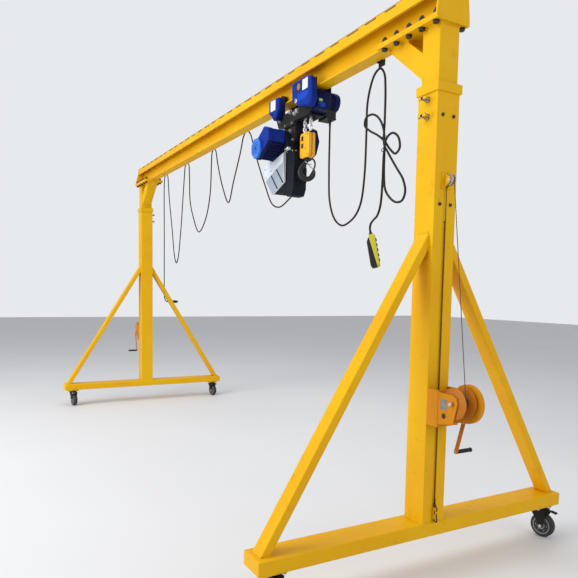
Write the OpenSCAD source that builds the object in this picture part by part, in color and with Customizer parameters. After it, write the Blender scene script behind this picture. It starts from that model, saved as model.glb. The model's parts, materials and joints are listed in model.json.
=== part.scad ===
// Gantry crane of adjustable height: two A-shaped legs on swivel castors, with a beam that two hand winches raise,
// and a motor trolley with an electric chain hoist under the beam.
// X runs along the beam, Y along the base tubes, Z up. The origin is on the floor under the crane's middle.

/* [Part] */
// Piece to show, or "all"

/* [Overall size] */
// Distance between the middles of the two posts, mm
span = 6080; // [4000:10:9000]
// Length of a base tube, mm
base_length = 2280; // [1600:10:3200]
// Height of a base tube's underside above the floor, mm
base_clear = 220; // [180:5:260]
// Height of a post's upper end above the floor, mm
post_top = 2800; // [2300:10:3400]
// Height of the underside of the beam's plates above the floor, mm
mast_top = 3120; // [3000:10:3800]

/* [Tubes] */
// Width of a base tube across the crane, mm
base_width = 180; // [140:5:220]
// Height of a base tube, mm
base_height = 80; // [60:5:120]
// Side of the square post, mm
post_side = 160; // [140:5:200]
// Play between the mast and each wall of the post, mm
mast_play = 5; // [2:0.5:15]
// Wall of the base tube, the post and the mast, mm
wall = 5; // [4:0.5:8]
// Width of a brace along X, mm
brace_width = 100; // [60:5:140]
// Thickness of a brace in its own plane, mm
brace_depth = 50; // [40:5:80]
// Height where a brace's upper side meets the post, mm
brace_top = 1980; // [1200:10:2400]
// Distance from a base tube's end to a brace's foot, mm
brace_inset = 28; // [0:2:300]
// Width of the slot in a post, mm
slot_width = 22; // [18:1:40]
// Height of the slot's upper end, mm
slot_top = 2045; // [1500:5:2200]
// Height of the collar round a post's upper end, mm
collar_height = 50; // [30:2:100]
// Thickness of the collar, mm
collar_thick = 10; // [5:1:20]

/* [Beam] */
// Height of the rolled beam, mm
beam_height = 200; // [160:5:300]
// Width of its flanges, mm
beam_width = 104; // [90:2:160]
// Thickness of its flanges, mm
flange = 9; // [7:0.5:14]
// Thickness of its web, mm
web = 7; // [5:0.5:10]
// Outer width of the channel over the upper flange, mm
cap_width = 160; // [130:2:200]
// Height of the channel, mm
cap_height = 82; // [60:2:100]
// Thickness of the channel's web, mm
cap_web = 9; // [6:0.5:12]
// Thickness of the channel's legs, mm
cap_leg = 8; // [6:0.5:12]
// Length of beam beyond the middle of a post, mm
overhang = 95; // [80:5:600]
// Thickness of each of the two bolted plates under a beam end, mm
plate_thick = 15; // [10:1:20]
// Width of the bolted plates, mm
plate_width = 240; // [180:5:300]
// Length of the bolted plates, mm
plate_length = 535; // [400:5:700]
// Thickness of a beam's end plate, mm
end_thick = 12; // [8:1:20]
// Height of an end plate above the channel, mm
end_rise = 22; // [0:1:60]
// Half width of the right end plate's upper edge, mm
end_half_right = 96; // [50:1:120]
// Half width of the left end plate's upper edge, mm
end_half_left = 58; // [50:1:120]
// Width of a knee strut, mm
knee_width = 120; // [80:5:130]
// Reach of a knee strut along the beam, mm
knee_reach = 338; // [250:2:420]
// Drop of a knee strut along the mast, mm
knee_drop = 278; // [200:2:300]

/* [Castors] */
// Diameter of a wheel, mm
wheel_diameter = 160; // [125:5:200]
// Width of a wheel, mm
wheel_width = 48; // [35:1:60]
// Distance from the swivel's axis to the wheel's axle, mm
trail = 45; // [30:1:70]
// Distance from a base tube's end to a castor's axis, mm
castor_inset = 110; // [80:2:300]
// Direction in which a castor trails, degrees
castor_turn = 12; // [0:1:359]

/* [Winch] */
// Distance of the drum's axis from the post's outer face, mm
drum_out = 200; // [160:5:260]
// Height of the drum's axis, mm
drum_z = 1040; // [800:10:1400]
// Radius of the rope wound on the drum, mm
drum_radius = 37; // [30:1:60]
// Radius of the drum's flanges, mm
drum_flange = 88; // [60:1:100]
// Length of the crank's arm, mm
crank_length = 271; // [200:1:320]
// Angle of the crank's arm from straight down, degrees
crank_angle = 15.6; // [0:0.1:45]
// Radius of the rope, mm
rope_r = 3; // [2:0.5:5]
// Height of the pulley at a post's upper end, mm
sheave_z = 2268; // [2100:2:2500]
// Radius of the rope's middle on the pulley, mm
sheave_r = 28; // [20:1:40]

/* [Trolley and hoist] */
// Place of the trolley's middle along the beam, mm
trolley_x = 1470; // [-1800:10:1800]
// Play between a trolley plate and the beam's flange, mm
plate_play = 6; // [4:0.5:12]
// Radius of a trolley wheel, mm
trolley_wheel_r = 35; // [25:1:45]
// Radius of the travel motor, mm
travel_r = 72; // [50:1:90]
// Tilt of the hoist about its own length, degrees
hoist_tilt = 21; // [0:1:30]
// Half width of the hoist motor, mm
motor_half = 140; // [110:1:150]
// Width of the hook block, mm
block_width = 138; // [110:1:180]
// Height of the hook block, mm
block_height = 190; // [140:2:240]
// Radius of the hook's bow, mm
hook_r = 56; // [40:1:80]

/* [Hidden] */
e = 0.02;
fine = 64;
gap = 0.3;
yellow = [0.93, 0.62, 0.03];
black = [0.05, 0.05, 0.05];
steel = [0.55, 0.55, 0.56];
blue = [0.10, 0.25, 0.75];
navy = [0.04, 0.07, 0.28];
slate = [0.16, 0.20, 0.25];
silver = [0.78, 0.80, 0.84];
orange = [0.96, 0.62, 0.08];
lime = [0.75, 0.74, 0.10];

half_span = span / 2;
base_top = base_clear + base_height;
mast_side = post_side - 2 * wall - 2 * mast_play;
mast_foot = base_top + gap;
mast_out = half_span + mast_side / 2;
mast_in = half_span - mast_side / 2;
post_out = half_span + post_side / 2;
beam_low = mast_top + 2 * plate_thick;
beam_top = beam_low + beam_height;
cap_top = beam_top + cap_web;
beam_half = half_span + overhang;
brace_foot = base_length / 2 - brace_inset;
brace_slope = atan2(brace_top - base_top, brace_foot - post_side / 2);
castor_offset = base_length / 2 - castor_inset;
wheel_r = wheel_diameter / 2;

// Winch, rope and pulley
winch_deep = 88;
drum_x = post_out + drum_out;
crank_x = drum_x - 58;
crank_z = drum_z - 55;
crank_shaft = 9;
drum_hub = 11;
sheave_x = post_out + 38;
sheave_edge = sheave_r + 4;
pin_r = 7;
lug_top = mast_foot + 90;
lug_reach = sheave_x - sheave_r + 16;
rope_side = -12;
rope_lean = atan2(drum_x - sheave_x, sheave_z - drum_z)
          + asin((drum_radius - rope_r - sheave_r) / norm([drum_x - sheave_x, sheave_z - drum_z]));
rope_start = 22.5;
rope_steps = 14;

// Bolts through the plates under a beam end, as distances from the beam's end
plate_bolts = [35, 150, 260, 373, 485];
bolt_side = 95;

// Trolley
plate_in = beam_width / 2 + plate_play;
plate_out = plate_in + 10;
frame_low = beam_low - 180;
frame_top = beam_low - 92;
cover_out = 130;
travel_x = trolley_x + 190;
travel_z = beam_low - 55;
travel_end = 205;

// Hoist: the motor at the -Y end, the gear side below it, the chain container at the +X side
hoist_x = trolley_x - 70;
hoist_z = beam_low - 395;
gear_out = 111;
gear_in = 81;
column_in = hoist_x - 14;
column_out = hoist_x + 100;
column_top = hoist_z - 5;
column_low = hoist_z - 360;
motor_end = 261;
motor_cap = 285;
cover_in = 45;
cover_end = 145;
block_x = trolley_x + 110;
block_mid = beam_low - 380;
block_half = 30;
chain_pitch = 90;
chain_r = 8;
swivel_x = block_x;
bow_z = block_mid - block_height / 2 - 105;
hook_turn = 60;

// Cable line beside the beam
line_y = 300;
line_z = cap_top - 24;
line_r = 6;
cable_r = 7;
pendant_r = 7.5;
hanger_x = half_span - 620;

// Supply cable, from its plug behind the left leg, over the line and in loops to the hoist
supply_route = [
  [-3112, 396, 1456], [-3112, 378, 1456], [-3112, 356, 1452], [-3112, 334, 1458], [-3112, 314, 1484],
  [-3112, 302, 1530], [-3112, 300, 1600],
  [-3112, 300, 2400], [-3112, 300, 3190], [-3090, 300, 3280], [-3018, 300, 3322], [-2945, 300, 3280],
  [-2916, 300, 3190], [-2880, 300, 2990], [-2735, 300, 2500], [-2615, 300, 2090], [-2536, 300, 2012],
  [-2460, 300, 2090], [-2350, 300, 2460], [-2243, 300, 2990], [-2200, 300, 3200], [-2176, 300, 3286],
  [-2102, 300, 3322], [-2030, 300, 3284], [-2004, 300, 3100], [-1976, 300, 2810], [-1862, 300, 2600],
  [-1640, 300, 2376], [-1400, 300, 2520], [-1256, 300, 2800], [-1214, 300, 3200], [-1196, 300, 3286],
  [-1140, 300, 3322], [-1080, 300, 3282], [-1020, 300, 3130], [-860, 300, 2830], [-680, 300, 2632],
  [-550, 300, 2840], [-362, 300, 3140], [-290, 300, 3280], [-205, 300, 3322], [-118, 300, 3270],
  [-40, 300, 3140], [80, 300, 2930], [260, 300, 2665], [400, 300, 2490], [560, 300, 2440],
  [780, 296, 2500], [1040, 286, 2592], [1220, 262, 2655], [1305, 238, 2702], [1340, 203, 2728],
  [1350, 168, 2735], [1350, 145.3, 2735]
];

// Pendant cable, from the travel motor's box, up to the hanger, through its spare loops and down to the pendant
pendant_route = [
  [1646, 160, 2949.7], [1646, 160, 2820], [1648, 160, 2570], [1672, 156, 2350], [1760, 144, 2206],
  [1885, 132, 2138], [2000, 122, 2152], [2100, 112, 2198], [2165, 105, 2275], [2206, 100, 2457],
  [2229, 90, 2760], [2238, 85, 2925], [2275, 80, 3030], [2335, 70, 3096], [2405, 62, 3110],
  [2452, 60, 3062], [2468, 60, 2953], [2470, 60, 2763], [2470, 60, 2610], [2512, 60, 2550],
  [2603, 58, 2440], [2682, 55, 2347], [2709, 52, 2269], [2684, 50, 2219], [2628, 48, 2214],
  [2565, 46, 2250], [2515, 45, 2310], [2500, 44, 2400], [2495, 44, 2600], [2478, 44, 2708],
  [2420, 43, 2790], [2353, 42, 2824], [2290, 40, 2816], [2280, 37, 2770], [2345, 33, 2718],
  [2440, 29, 2668], [2520, 26, 2612], [2580, 25, 2550], [2640, 22, 2512], [2684, 18, 2540],
  [2672, 14, 2606], [2618, 10, 2642], [2562, 8, 2620], [2540, 8, 2540], [2530, 10, 2355],
  [2502, 20, 2205], [2458, 30, 2145], [2405, 42, 2125], [2362, 53, 2106],
  [2349, 56, 2091], [2344, 57.6, 2074], [2346, 58, 2060], [2349.8, 58, 2048.3]
];

// A box given by its two corners
module span_box(a, b) {
  translate(a) cube(b - a);
}

// A cylinder along Y, given by one end's middle, its length and its radius
module y_rod(p, length, r) {
  translate(p) rotate([-90, 0, 0]) cylinder(h = length, r = r, $fn = fine);
}

// A cylinder along X
module x_rod(p, length, r) {
  translate(p) rotate([0, 90, 0]) cylinder(h = length, r = r, $fn = fine);
}

// A six-sided head or nut, upright
module hex_head(p, across, h) {
  translate(p) cylinder(h = h, d = across / cos(30), $fn = 6);
}

// An outline in the XZ plane, extruded along Y from one value to another
module xz_plate(from, to) {
  translate([0, to, 0]) rotate([90, 0, 0]) linear_extrude(to - from) children();
}

// The left leg is the right one turned half a turn about Z
module as_left() {
  rotate([0, 0, 180]) children();
}

// A cable: rings of points round a route, joined by triangles
function unit(v) = v / norm(v);
function heading(route, i) =
  unit(unit(route[min(i + 1, len(route) - 1)] - route[min(i, len(route) - 2)])
     + unit(route[max(i, 1)] - route[max(i - 1, 0)]));
function carried(side, along) = unit(side - (side * along) * along);
function sides_from(route, i, side) =
  i == len(route) ? [] :
  let (here = carried(side, heading(route, i))) concat([here], sides_from(route, i + 1, here));
function ring(middle, along, side, r, n) =
  [for (k = [0 : n - 1]) middle + r * (cos(360 * k / n) * side + sin(360 * k / n) * cross(along, side))];

// r is one radius, or a list with one for each point of the route
module cable(route, r, side, n) {
  sides = sides_from(route, 0, side);
  last = (len(route) - 1) * n;
  points = [for (i = [0 : len(route) - 1]) each ring(route[i], heading(route, i), sides[i], is_num(r) ? r : r[i], n)];
  walls = [for (i = [0 : len(route) - 2], k = [0 : n - 1])
    let (a = i * n + k, b = i * n + (k + 1) % n)
    each [[a, b + n, b], [a, a + n, b + n]]];
  polyhedron(points, concat([[for (k = [0 : n - 1]) k]], walls, [[for (k = [n - 1 : -1 : 0]) last + k]]));
}

module base_right() color(yellow) {
  difference() {
    span_box([half_span - base_width / 2, -base_length / 2, base_clear],
             [half_span + base_width / 2, base_length / 2, base_top]);
    span_box([half_span - base_width / 2 + wall, -base_length / 2 + wall, base_clear + wall],
             [half_span + base_width / 2 - wall, base_length / 2 - wall, base_top - wall]);
  }
  for (y = [-castor_offset, castor_offset])
    span_box([half_span - 68, y - 72, base_clear - 18], [half_span + 68, y + 72, base_clear]);
}

module post_right() color(yellow) {
  inner = post_side - 2 * wall;
  difference() {
    union() {
      translate([half_span - post_side / 2, -post_side / 2, base_top])
        cube([post_side, post_side, post_top - collar_height / 2 - base_top]);
      translate([half_span, 0, post_top - collar_height]) linear_extrude(collar_height)
        square(post_side + 2 * collar_thick, center = true);
    }
    translate([half_span - inner / 2, -inner / 2, base_top - 1]) cube([inner, inner, post_top - base_top + 2]);
    span_box([half_span, -slot_width / 2, base_top - 1], [post_out + 1, slot_width / 2, slot_top]);
  }
  // clamping screws with their T handles, through the front wall and up to the mast
  for (z = [post_top - 178, post_top - 84])
    translate([half_span, -mast_side / 2 - gap, z]) rotate([90, 0, 0]) {
      clamp = mast_play + wall - gap;
      cylinder(h = clamp + 38, d = 16, $fn = fine);
      translate([0, 0, clamp - e]) cylinder(h = 16, d = 34, $fn = 6);
      translate([-32, -6, clamp + 34]) cube([64, 12, 12]);
    }
  // guide pads behind the outer wall, with the screws that hold them
  for (z = [2137, 2624]) {
    span_box([mast_out + gap, -55, z - 30], [post_out - wall + e, 55, z + 30]);
    for (y = [-40, 40])
      x_rod([post_out - e, y, z], 5, 6);
  }
  // bracket that carries the pulley
  for (s = [-1, 1])
    mirror([0, s < 0 ? 1 : 0, 0])
      difference() {
        union() {
          xz_plate(10, 15)
            polygon([[post_out, sheave_z - 45], [sheave_x + 8, sheave_z - 14], [sheave_x + 14, sheave_z],
                     [sheave_x + 8, sheave_z + 14], [post_out, sheave_z + 45]]);
          span_box([post_out - e, 10, sheave_z - 45], [post_out + 6, 34, sheave_z + 45]);
        }
        y_rod([sheave_x, 5, sheave_z], 20, pin_r + gap);
      }
}

module brace_right(side) color(yellow) {
  near = post_side / 2;
  flat = brace_depth / sin(brace_slope);
  drop = brace_depth / cos(brace_slope);
  translate([half_span - brace_width / 2, 0, 0])
    rotate([90, 0, 90])
      linear_extrude(brace_width)
        mirror([side < 0 ? 1 : 0, 0])
          polygon([[near, brace_top], [brace_foot, base_top], [brace_foot - flat, base_top],
                   [near, brace_top - drop]]);
}

module brace_right_front() { brace_right(-1); }
module brace_right_back() { brace_right(1); }

module winch_right() color(yellow) {
  difference() {
    union() {
      // mounting channel on the post
      difference() {
        span_box([post_out, -80, drum_z - 150], [post_out + winch_deep, 80, drum_z + 60]);
        span_box([post_out - 1, -73, drum_z - 151], [post_out + winch_deep - 7, 73, drum_z + 61]);
      }
      // two side plates
      for (y = [-78, 21])
        xz_plate(y, y + 6)
          polygon([[post_out + winch_deep - e, drum_z - 132], [drum_x + 5, drum_z - 112], [drum_x + 36, drum_z + 5],
                   [drum_x + 26, drum_z + 36], [drum_x - 5, drum_z + 48], [post_out + winch_deep - e, drum_z + 50]]);
      // gear cover beyond the second plate
      y_rod([drum_x, 27 - e, drum_z - 8], 26, 108);
      span_box([post_out + winch_deep - e, 27 - e, drum_z - 90], [post_out + 150, 46, drum_z + 45]);
    }
    y_rod([drum_x, -90, drum_z], 30, drum_hub + gap);
    y_rod([drum_x, 10, drum_z], 20, crank_shaft + gap);
    y_rod([crank_x, 32, crank_z], 30, crank_shaft + gap);
  }
}

module drum_right() color(yellow) {
  y_rod([drum_x, -66, drum_z], 80, drum_radius);
  y_rod([drum_x, -66, drum_z], 5, drum_flange);
  y_rod([drum_x, 9, drum_z], 5, drum_flange);
  y_rod([drum_x, -92, drum_z], 30, drum_hub);
  y_rod([drum_x, 10, drum_z], 18, crank_shaft);
}

module crank_right() color(yellow) {
  y_rod([crank_x, 33, crank_z], 69, crank_shaft);
  translate([crank_x, 0, crank_z]) rotate([0, crank_angle, 0]) {
    y_rod([0, 88, 0], 12, 18);
    span_box([-13, 90, -crank_length], [13, 98, 0]);
    y_rod([0, 90, -crank_length], 8, 13);
    y_rod([0, 98 - e, -crank_length], 116, 13.5);
  }
}

module sheave_right() color(steel) {
  difference() {
    y_rod([sheave_x, -8, sheave_z], 16, sheave_edge);
    translate([sheave_x, 0, sheave_z]) rotate([90, 0, 0]) {
      rotate_extrude($fn = fine) translate([sheave_r, 0]) circle(r = rope_r + gap, $fn = 24);
      rotate_extrude($fn = fine) translate([sheave_r, -rope_r - gap]) square([sheave_edge, 2 * (rope_r + gap)]);
    }
  }
  y_rod([sheave_x, -20, sheave_z], 40, pin_r);
}

// from just above the drum up to the pulley, and over it
module rope_right() color(steel) {
  leaving = [cos(rope_lean), 0, sin(rope_lean)];
  rising = [-sin(rope_lean), 0, cos(rope_lean)];
  low = [drum_x, rope_side, drum_z] + (drum_radius - rope_r) * leaving + rope_start * rising;
  over = [for (i = [0 : rope_steps])
    let (a = rope_lean + (180 - rope_lean) * i / rope_steps)
    [sheave_x + sheave_r * cos(a), 0, sheave_z + sheave_r * sin(a)]];
  cable(concat([low], over), rope_r, [0, 1, 0], 12);
}

module rope_fall_right() color(steel)
  translate([sheave_x - sheave_r, 0, lug_top]) cylinder(h = sheave_z - gap - lug_top, r = rope_r, $fn = 24);

module castor_fork() color(black) {
  translate([0, 0, base_clear - 26]) cylinder(h = 8, r = 48, $fn = fine);
  rotate([0, 0, castor_turn]) {
    span_box([-34, -36, base_clear - 36], [trail + 30, 36, base_clear - 26 + e]);
    for (y = [-36, 30])
      xz_plate(y, y + 6)
        polygon([[-30, base_clear - 30], [trail + 26, base_clear - 30], [trail + 22, wheel_r - 14],
                 [trail - 18, wheel_r - 14]]);
    y_rod([trail, -42, wheel_r], 84, 8);
    // brake pedal
    span_box([trail + 24, -18, base_clear - 44], [trail + 90, 18, base_clear - 35]);
  }
}

module castor_wheel() color(black)
  rotate([0, 0, castor_turn])
    difference() {
      y_rod([trail, -wheel_width / 2, wheel_r], wheel_width, wheel_r);
      y_rod([trail, -wheel_width / 2 - 1, wheel_r], wheel_width + 2, 8 + gap);
      for (y = [-wheel_width / 2 - 1, wheel_width / 2 - 3])
        translate([trail, y, wheel_r]) rotate([-90, 0, 0])
          difference() {
            cylinder(h = 4, r = wheel_r * 0.72, $fn = fine);
            cylinder(h = 4, r = wheel_r * 0.3, $fn = fine);
          }
    }

module at_castor(side, end) {
  translate([side * half_span, end * castor_offset, 0]) children();
}

module mast_right() color(yellow) {
  difference() {
    span_box([mast_in, -mast_side / 2, mast_foot], [mast_out, mast_side / 2, mast_top]);
    span_box([mast_in + wall, -mast_side / 2 + wall, mast_foot - 1],
             [mast_out - wall, mast_side / 2 - wall, mast_top - wall]);
  }
  span_box([beam_half - plate_length, -plate_width / 2, mast_top], [beam_half, plate_width / 2, mast_top + plate_thick]);
  for (d = plate_bolts, y = [-bolt_side, bolt_side])
    hex_head([beam_half - d, y, mast_top - 12 + e], 24, 12);
  // lug for the rope at the foot
  span_box([mast_out - e, -6, mast_foot + 20], [lug_reach, 6, lug_top]);
  // knee strut
  xz_plate(-knee_width / 2, knee_width / 2)
    polygon([[mast_in + e, mast_top - knee_drop], [mast_in + e, mast_top - knee_drop * 0.47],
             [mast_in - knee_reach * 0.41, mast_top - 18], [mast_in - knee_reach * 0.41, mast_top + e],
             [mast_in - knee_reach, mast_top + e]]);
}

// End plate and bolted plate of one beam end
module beam_end(top_half) {
  span_box([beam_half - plate_length, -plate_width / 2, mast_top + plate_thick], [beam_half, plate_width / 2, beam_low + e]);
  translate([beam_half - end_thick, 0, 0]) rotate([90, 0, 90]) linear_extrude(end_thick)
    polygon([[-plate_width / 2, beam_low], [plate_width / 2, beam_low], [top_half, cap_top + end_rise],
             [-top_half, cap_top + end_rise]]);
  for (d = plate_bolts, y = [-bolt_side, bolt_side])
    hex_head([beam_half - d, y, beam_low - e], 24, 12);
}

module beam() color(yellow) {
  translate([-beam_half + end_thick - e, 0, beam_low]) rotate([90, 0, 90]) linear_extrude(2 * (beam_half - end_thick + e)) {
    translate([-beam_width / 2, 0]) square([beam_width, flange]);
    translate([-beam_width / 2, beam_height - flange]) square([beam_width, flange]);
    translate([-web / 2, 0]) square([web, beam_height]);
  }
  beam_end(end_half_right);
  mirror([1, 0, 0]) beam_end(end_half_left);
}

module beam_cap() color(yellow)
  translate([-beam_half + end_thick, 0, 0]) rotate([90, 0, 90]) linear_extrude(2 * (beam_half - end_thick)) {
    translate([-cap_width / 2, beam_top]) square([cap_width, cap_web]);
    for (s = [0, cap_width - cap_leg])
      translate([-cap_width / 2 + s, cap_top - cap_height]) square([cap_leg, cap_height]);
  }

// Rod beside the beam that carries the supply cable, on three flat arms from the channel's leg
module cable_line() color(steel) {
  x_rod([-beam_half + 22, line_y, line_z], beam_half + 40, line_r);
  for (x = [-beam_half + 40, -1650, 30])
    span_box([x - 15, cap_width / 2, line_z - 5], [x + 15, line_y + 4, line_z + 5]);
}

// Clip on the flange's edge that the pendant cable hangs over
module cable_hanger() color(black) {
  edge = beam_width / 2;
  difference() {
    span_box([hanger_x - 30, edge - 12, beam_low - 8], [hanger_x + 30, edge + 14, beam_low + flange + 8]);
    span_box([hanger_x - 31, edge - 13, beam_low - gap], [hanger_x + 31, edge + gap, beam_low + flange + gap]);
  }
  span_box([hanger_x - 30, edge + 4, beam_low - 32], [hanger_x + 30, edge + 14, beam_low - 8 + e]);
}

module trolley_frame() color(black) {
  for (s = [-1, 1])
    mirror([0, s < 0 ? 1 : 0, 0]) {
      xz_plate(plate_in, plate_out)
        polygon([[trolley_x - 300, frame_top], [trolley_x - 255, frame_low], [trolley_x + 235, frame_low],
                 [trolley_x + 330, beam_low - 110], [trolley_x + 330, beam_low + 62], [trolley_x + 90, beam_low + 62],
                 [trolley_x + 76, frame_top], [trolley_x - 155, frame_top], [trolley_x - 165, beam_low + 36],
                 [trolley_x - 305, beam_low + 36]]);
      for (x = [trolley_x - 235, trolley_x + 195]) {
        y_rod([x, 14, beam_low + flange + trolley_wheel_r + gap], 34, trolley_wheel_r);
        y_rod([x, 40, beam_low + flange + 24], plate_in - 39, 10);
      }
    }
  // floor of the frame with openings for the chain, and two cross tubes
  difference() {
    span_box([trolley_x - 250, -plate_in - e, frame_low], [trolley_x + 232, plate_in + e, frame_low + 10]);
    span_box([block_x - 70, -22, frame_low - 1], [block_x + 70, 22, frame_low + 11]);
  }
  for (x = [trolley_x - 225, trolley_x + 20])
    y_rod([x, -plate_in - e, frame_low + 52], 2 * plate_in + 2 * e, 14);
  // bar that the chain's two falls hang from
  span_box([block_x - 62, -8, frame_low + 30], [block_x + 62, 8, frame_low + 46]);
  span_box([block_x - 14, -plate_in - e, frame_low + 30], [block_x + 14, plate_in + e, frame_low + 46]);
}

module trolley_covers() color(blue) {
  xz_plate(-cover_out, -plate_out - gap)
    polygon([[trolley_x - 319, beam_low - 66], [trolley_x - 288, beam_low - 81], [trolley_x - 245, beam_low - 130],
             [trolley_x - 197, beam_low - 130], [trolley_x - 150, beam_low - 52], [trolley_x - 146, beam_low + 28],
             [trolley_x - 168, beam_low + 43], [trolley_x - 319, beam_low + 43]]);
  xz_plate(-cover_out, -plate_out - gap)
    polygon([[trolley_x + 68, beam_low - 60], [trolley_x + 160, beam_low - 112], [trolley_x + 330, beam_low - 156],
             [trolley_x + 366, beam_low - 110], [trolley_x + 352, beam_low + 20], [trolley_x + 328, beam_low + 62],
             [trolley_x + 302, beam_low + 76], [trolley_x + 66, beam_low + 76]]);
}

module travel_motor() color(navy) {
  y_rod([travel_x, plate_out + gap, travel_z], travel_end - plate_out - gap, travel_r);
  // terminal box below it, with the pendant cable's gland
  span_box([travel_x - 85, 92, travel_z - 130], [travel_x + 32, 190, travel_z - 55]);
  translate([travel_x - 14, 160, beam_low - 200]) cylinder(h = 71 - 55, r = 12, $fn = fine);
}

// The hoist's own frame: middle of its length, tilted about Y
module tilted() {
  translate([hoist_x, 0, hoist_z]) rotate([0, -hoist_tilt, 0]) children();
}

// Side outline of the gear side, in the hoist's own frame
module gear_outline(inset) {
  polygon([[-378 + inset, 52], [-371 + inset, -70], [-324 + inset, -218 + inset], [60, -218 + inset], [60, -4],
           [-190, 20], [-225, 52]]);
}

module gear_housing() color(silver)
  difference() {
    tilted() difference() {
      xz_plate(-gear_out, -gear_in) gear_outline(0);
      // two slanted grooves in the lower half
      for (u = [-266, -166])
        xz_plate(-gear_out - 1, -gear_out + 7)
          polygon([[u - 5, -66], [u + 5, -66], [u + 52, -230], [u + 42, -230]]);
      // the lower half leans back
      translate([-400, 0, 0]) rotate([90, 0, 90]) linear_extrude(500)
        polygon([[-gear_out - 1, -72], [-gear_out, -72], [-gear_out + 14, -220], [-gear_out - 1, -220]]);
    }
    span_box([column_in - gap, -gear_out - 1, column_low - 99], [column_in + 400, 0, column_top + gap]);
  }

module hoist_body() color(slate) {
  difference() {
    union() {
      tilted() {
        xz_plate(-gear_in + gap, cover_in - gap)
          polygon([[-374, 50], [-367, -70], [-320, -214], [60, -214], [78, 50], [78, 120], [52, 148], [-60, 148],
                   [-120, 90], [-120, 50]]);
        xz_plate(-gear_out + gap, -gear_in + 2)
          polygon([[-221, 52 + gap], [-187, 21 + gap], [60, -3 + gap], [74, 0], [74, 118], [50, 144], [-58, 144],
                   [-116, 88], [-124, 52 + gap]]);
        xz_plate(cover_in - 2, gear_out)
          polygon([[-360, -100], [-316, -210], [56, -210], [56, -100]]);
      }
      // hanger up to the trolley
      span_box([hoist_x - 105, -50, hoist_z + 60], [hoist_x + 92, cover_in - 6, frame_low - gap]);
    }
    span_box([column_in - gap, -gear_out - 1, column_low - 99], [column_in + 400, gear_out + 1, column_top + gap]);
  }
}

// Long six-sided block along Y, with a cap of eight sides low on its end
module hoist_motor() color(blue)
  translate([hoist_x - 121, 0, hoist_z + 59]) {
    xz_plate(-motor_end, -gear_out - gap)
      polygon(motor_half * [[0.43, 0.86], [1, 0.67], [1, -0.04], [-0.43, -0.86], [-1, -0.67], [-1, 0.04]]);
    translate([-0.36 * motor_half, -motor_end + e, -0.24 * motor_half]) rotate([90, 22.5, 0])
      cylinder(h = motor_cap - motor_end, d = 1.18 * motor_half, $fn = 8);
  }

module end_cover() color(navy)
  tilted() translate([20, cover_end, 76]) rotate([90, 0, 0]) rotate([0, 0, 22.5])
    cylinder(h = cover_end - cover_in, d = 250 / cos(22.5), $fn = 8);

module chain_container() color(slate)
  xz_plate(-78, 44)
    polygon([[column_in, column_top], [column_out, column_top], [column_out, column_low + 52],
             [column_out - 30, column_low], [column_in, column_low]]);

module load_chain() color(steel)
  for (s = [-1, 1])
    translate([block_x + s * chain_pitch / 2, 0, block_mid + block_height / 2 + gap])
      cylinder(h = frame_low + 30 - block_mid - block_height / 2 - 2 * gap, r = chain_r, $fn = fine);

module hook_block() color(orange)
  difference() {
    xz_plate(-block_half, block_half)
      translate([block_x, block_mid]) rounded(block_width, block_height, 24);
    for (z = [-8, 40])
      span_box([block_x - 40, -block_half - 1, block_mid + z - 12], [block_x - 18, -block_half + 8, block_mid + z + 12]);
    translate([block_x, 0, block_mid - block_height / 2 - 1]) cylinder(h = 31, r = 15 + gap, $fn = fine);
  }

// A rectangle with round corners, about its middle
module rounded(w, h, r) {
  square([w - 2 * r, h], center = true);
  square([w, h - 2 * r], center = true);
  for (x = [r - w / 2, w / 2 - r], y = [r - h / 2, h / 2 - r])
    translate([x, y]) circle(r = r, $fn = fine);
}

// Swept round the bow, thickest at its bottom and thin at the tip
module hook() color(black) {
  bow = [for (a = [125 : 17 : 380]) a];
  neck = [[0, 0, 125], [0, 0, 92], [-10, 0, 70]];
  route = concat(neck, [for (a = bow) hook_r * [cos(a), 0, sin(a)]]);
  radii = concat([15, 15, 16], [for (a = bow) a > 340 ? 21 - 0.3 * (a - 340) : 17 + 4 * max(0, sin(a - 160))]);
  translate([swivel_x, 0, bow_z]) rotate([0, 0, hook_turn]) cable(route, radii, [0, 1, 0], 16);
}

module pendant_cable() color(black) cable(pendant_route, pendant_r, [1, 0, 0], 8);
module supply_cable() color(black) cable(supply_route, cable_r, [1, 0, 0], 8);

module pendant() color(lime)
  translate([2350, 58, 2047.7]) rotate([0, -18, 0]) {
    translate([0, 0, -20]) cylinder(h = 20, r = 14, $fn = fine);
    translate([-34, -27, -250]) cube([68, 54, 230 + e]);
  }

// Plug on the supply cable's end, at the back of the brace
module supply_plug() color(black) {
  y_rod([-3112, 396.3, 1456], 90, 20);
  y_rod([-3112, 486, 1456], 22, 17);
}

module base_left() { as_left() base_right(); }
module post_left() { as_left() post_right(); }
module winch_left() { as_left() winch_right(); }
module drum_left() { as_left() drum_right(); }
module crank_left() { as_left() crank_right(); }
module sheave_left() { as_left() sheave_right(); }
module rope_left() { as_left() rope_right(); }
module rope_fall_left() { as_left() rope_fall_right(); }
module brace_left_front() { as_left() brace_right(1); }
module brace_left_back() { as_left() brace_right(-1); }
module mast_left() { as_left() mast_right(); }
module fork_right_front() { at_castor(1, -1) castor_fork(); }
module wheel_right_front() { at_castor(1, -1) castor_wheel(); }
module fork_right_back() { at_castor(1, 1) castor_fork(); }
module wheel_right_back() { at_castor(1, 1) castor_wheel(); }
module fork_left_front() { at_castor(-1, -1) castor_fork(); }
module wheel_left_front() { at_castor(-1, -1) castor_wheel(); }
module fork_left_back() { at_castor(-1, 1) castor_fork(); }
module wheel_left_back() { at_castor(-1, 1) castor_wheel(); }

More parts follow.
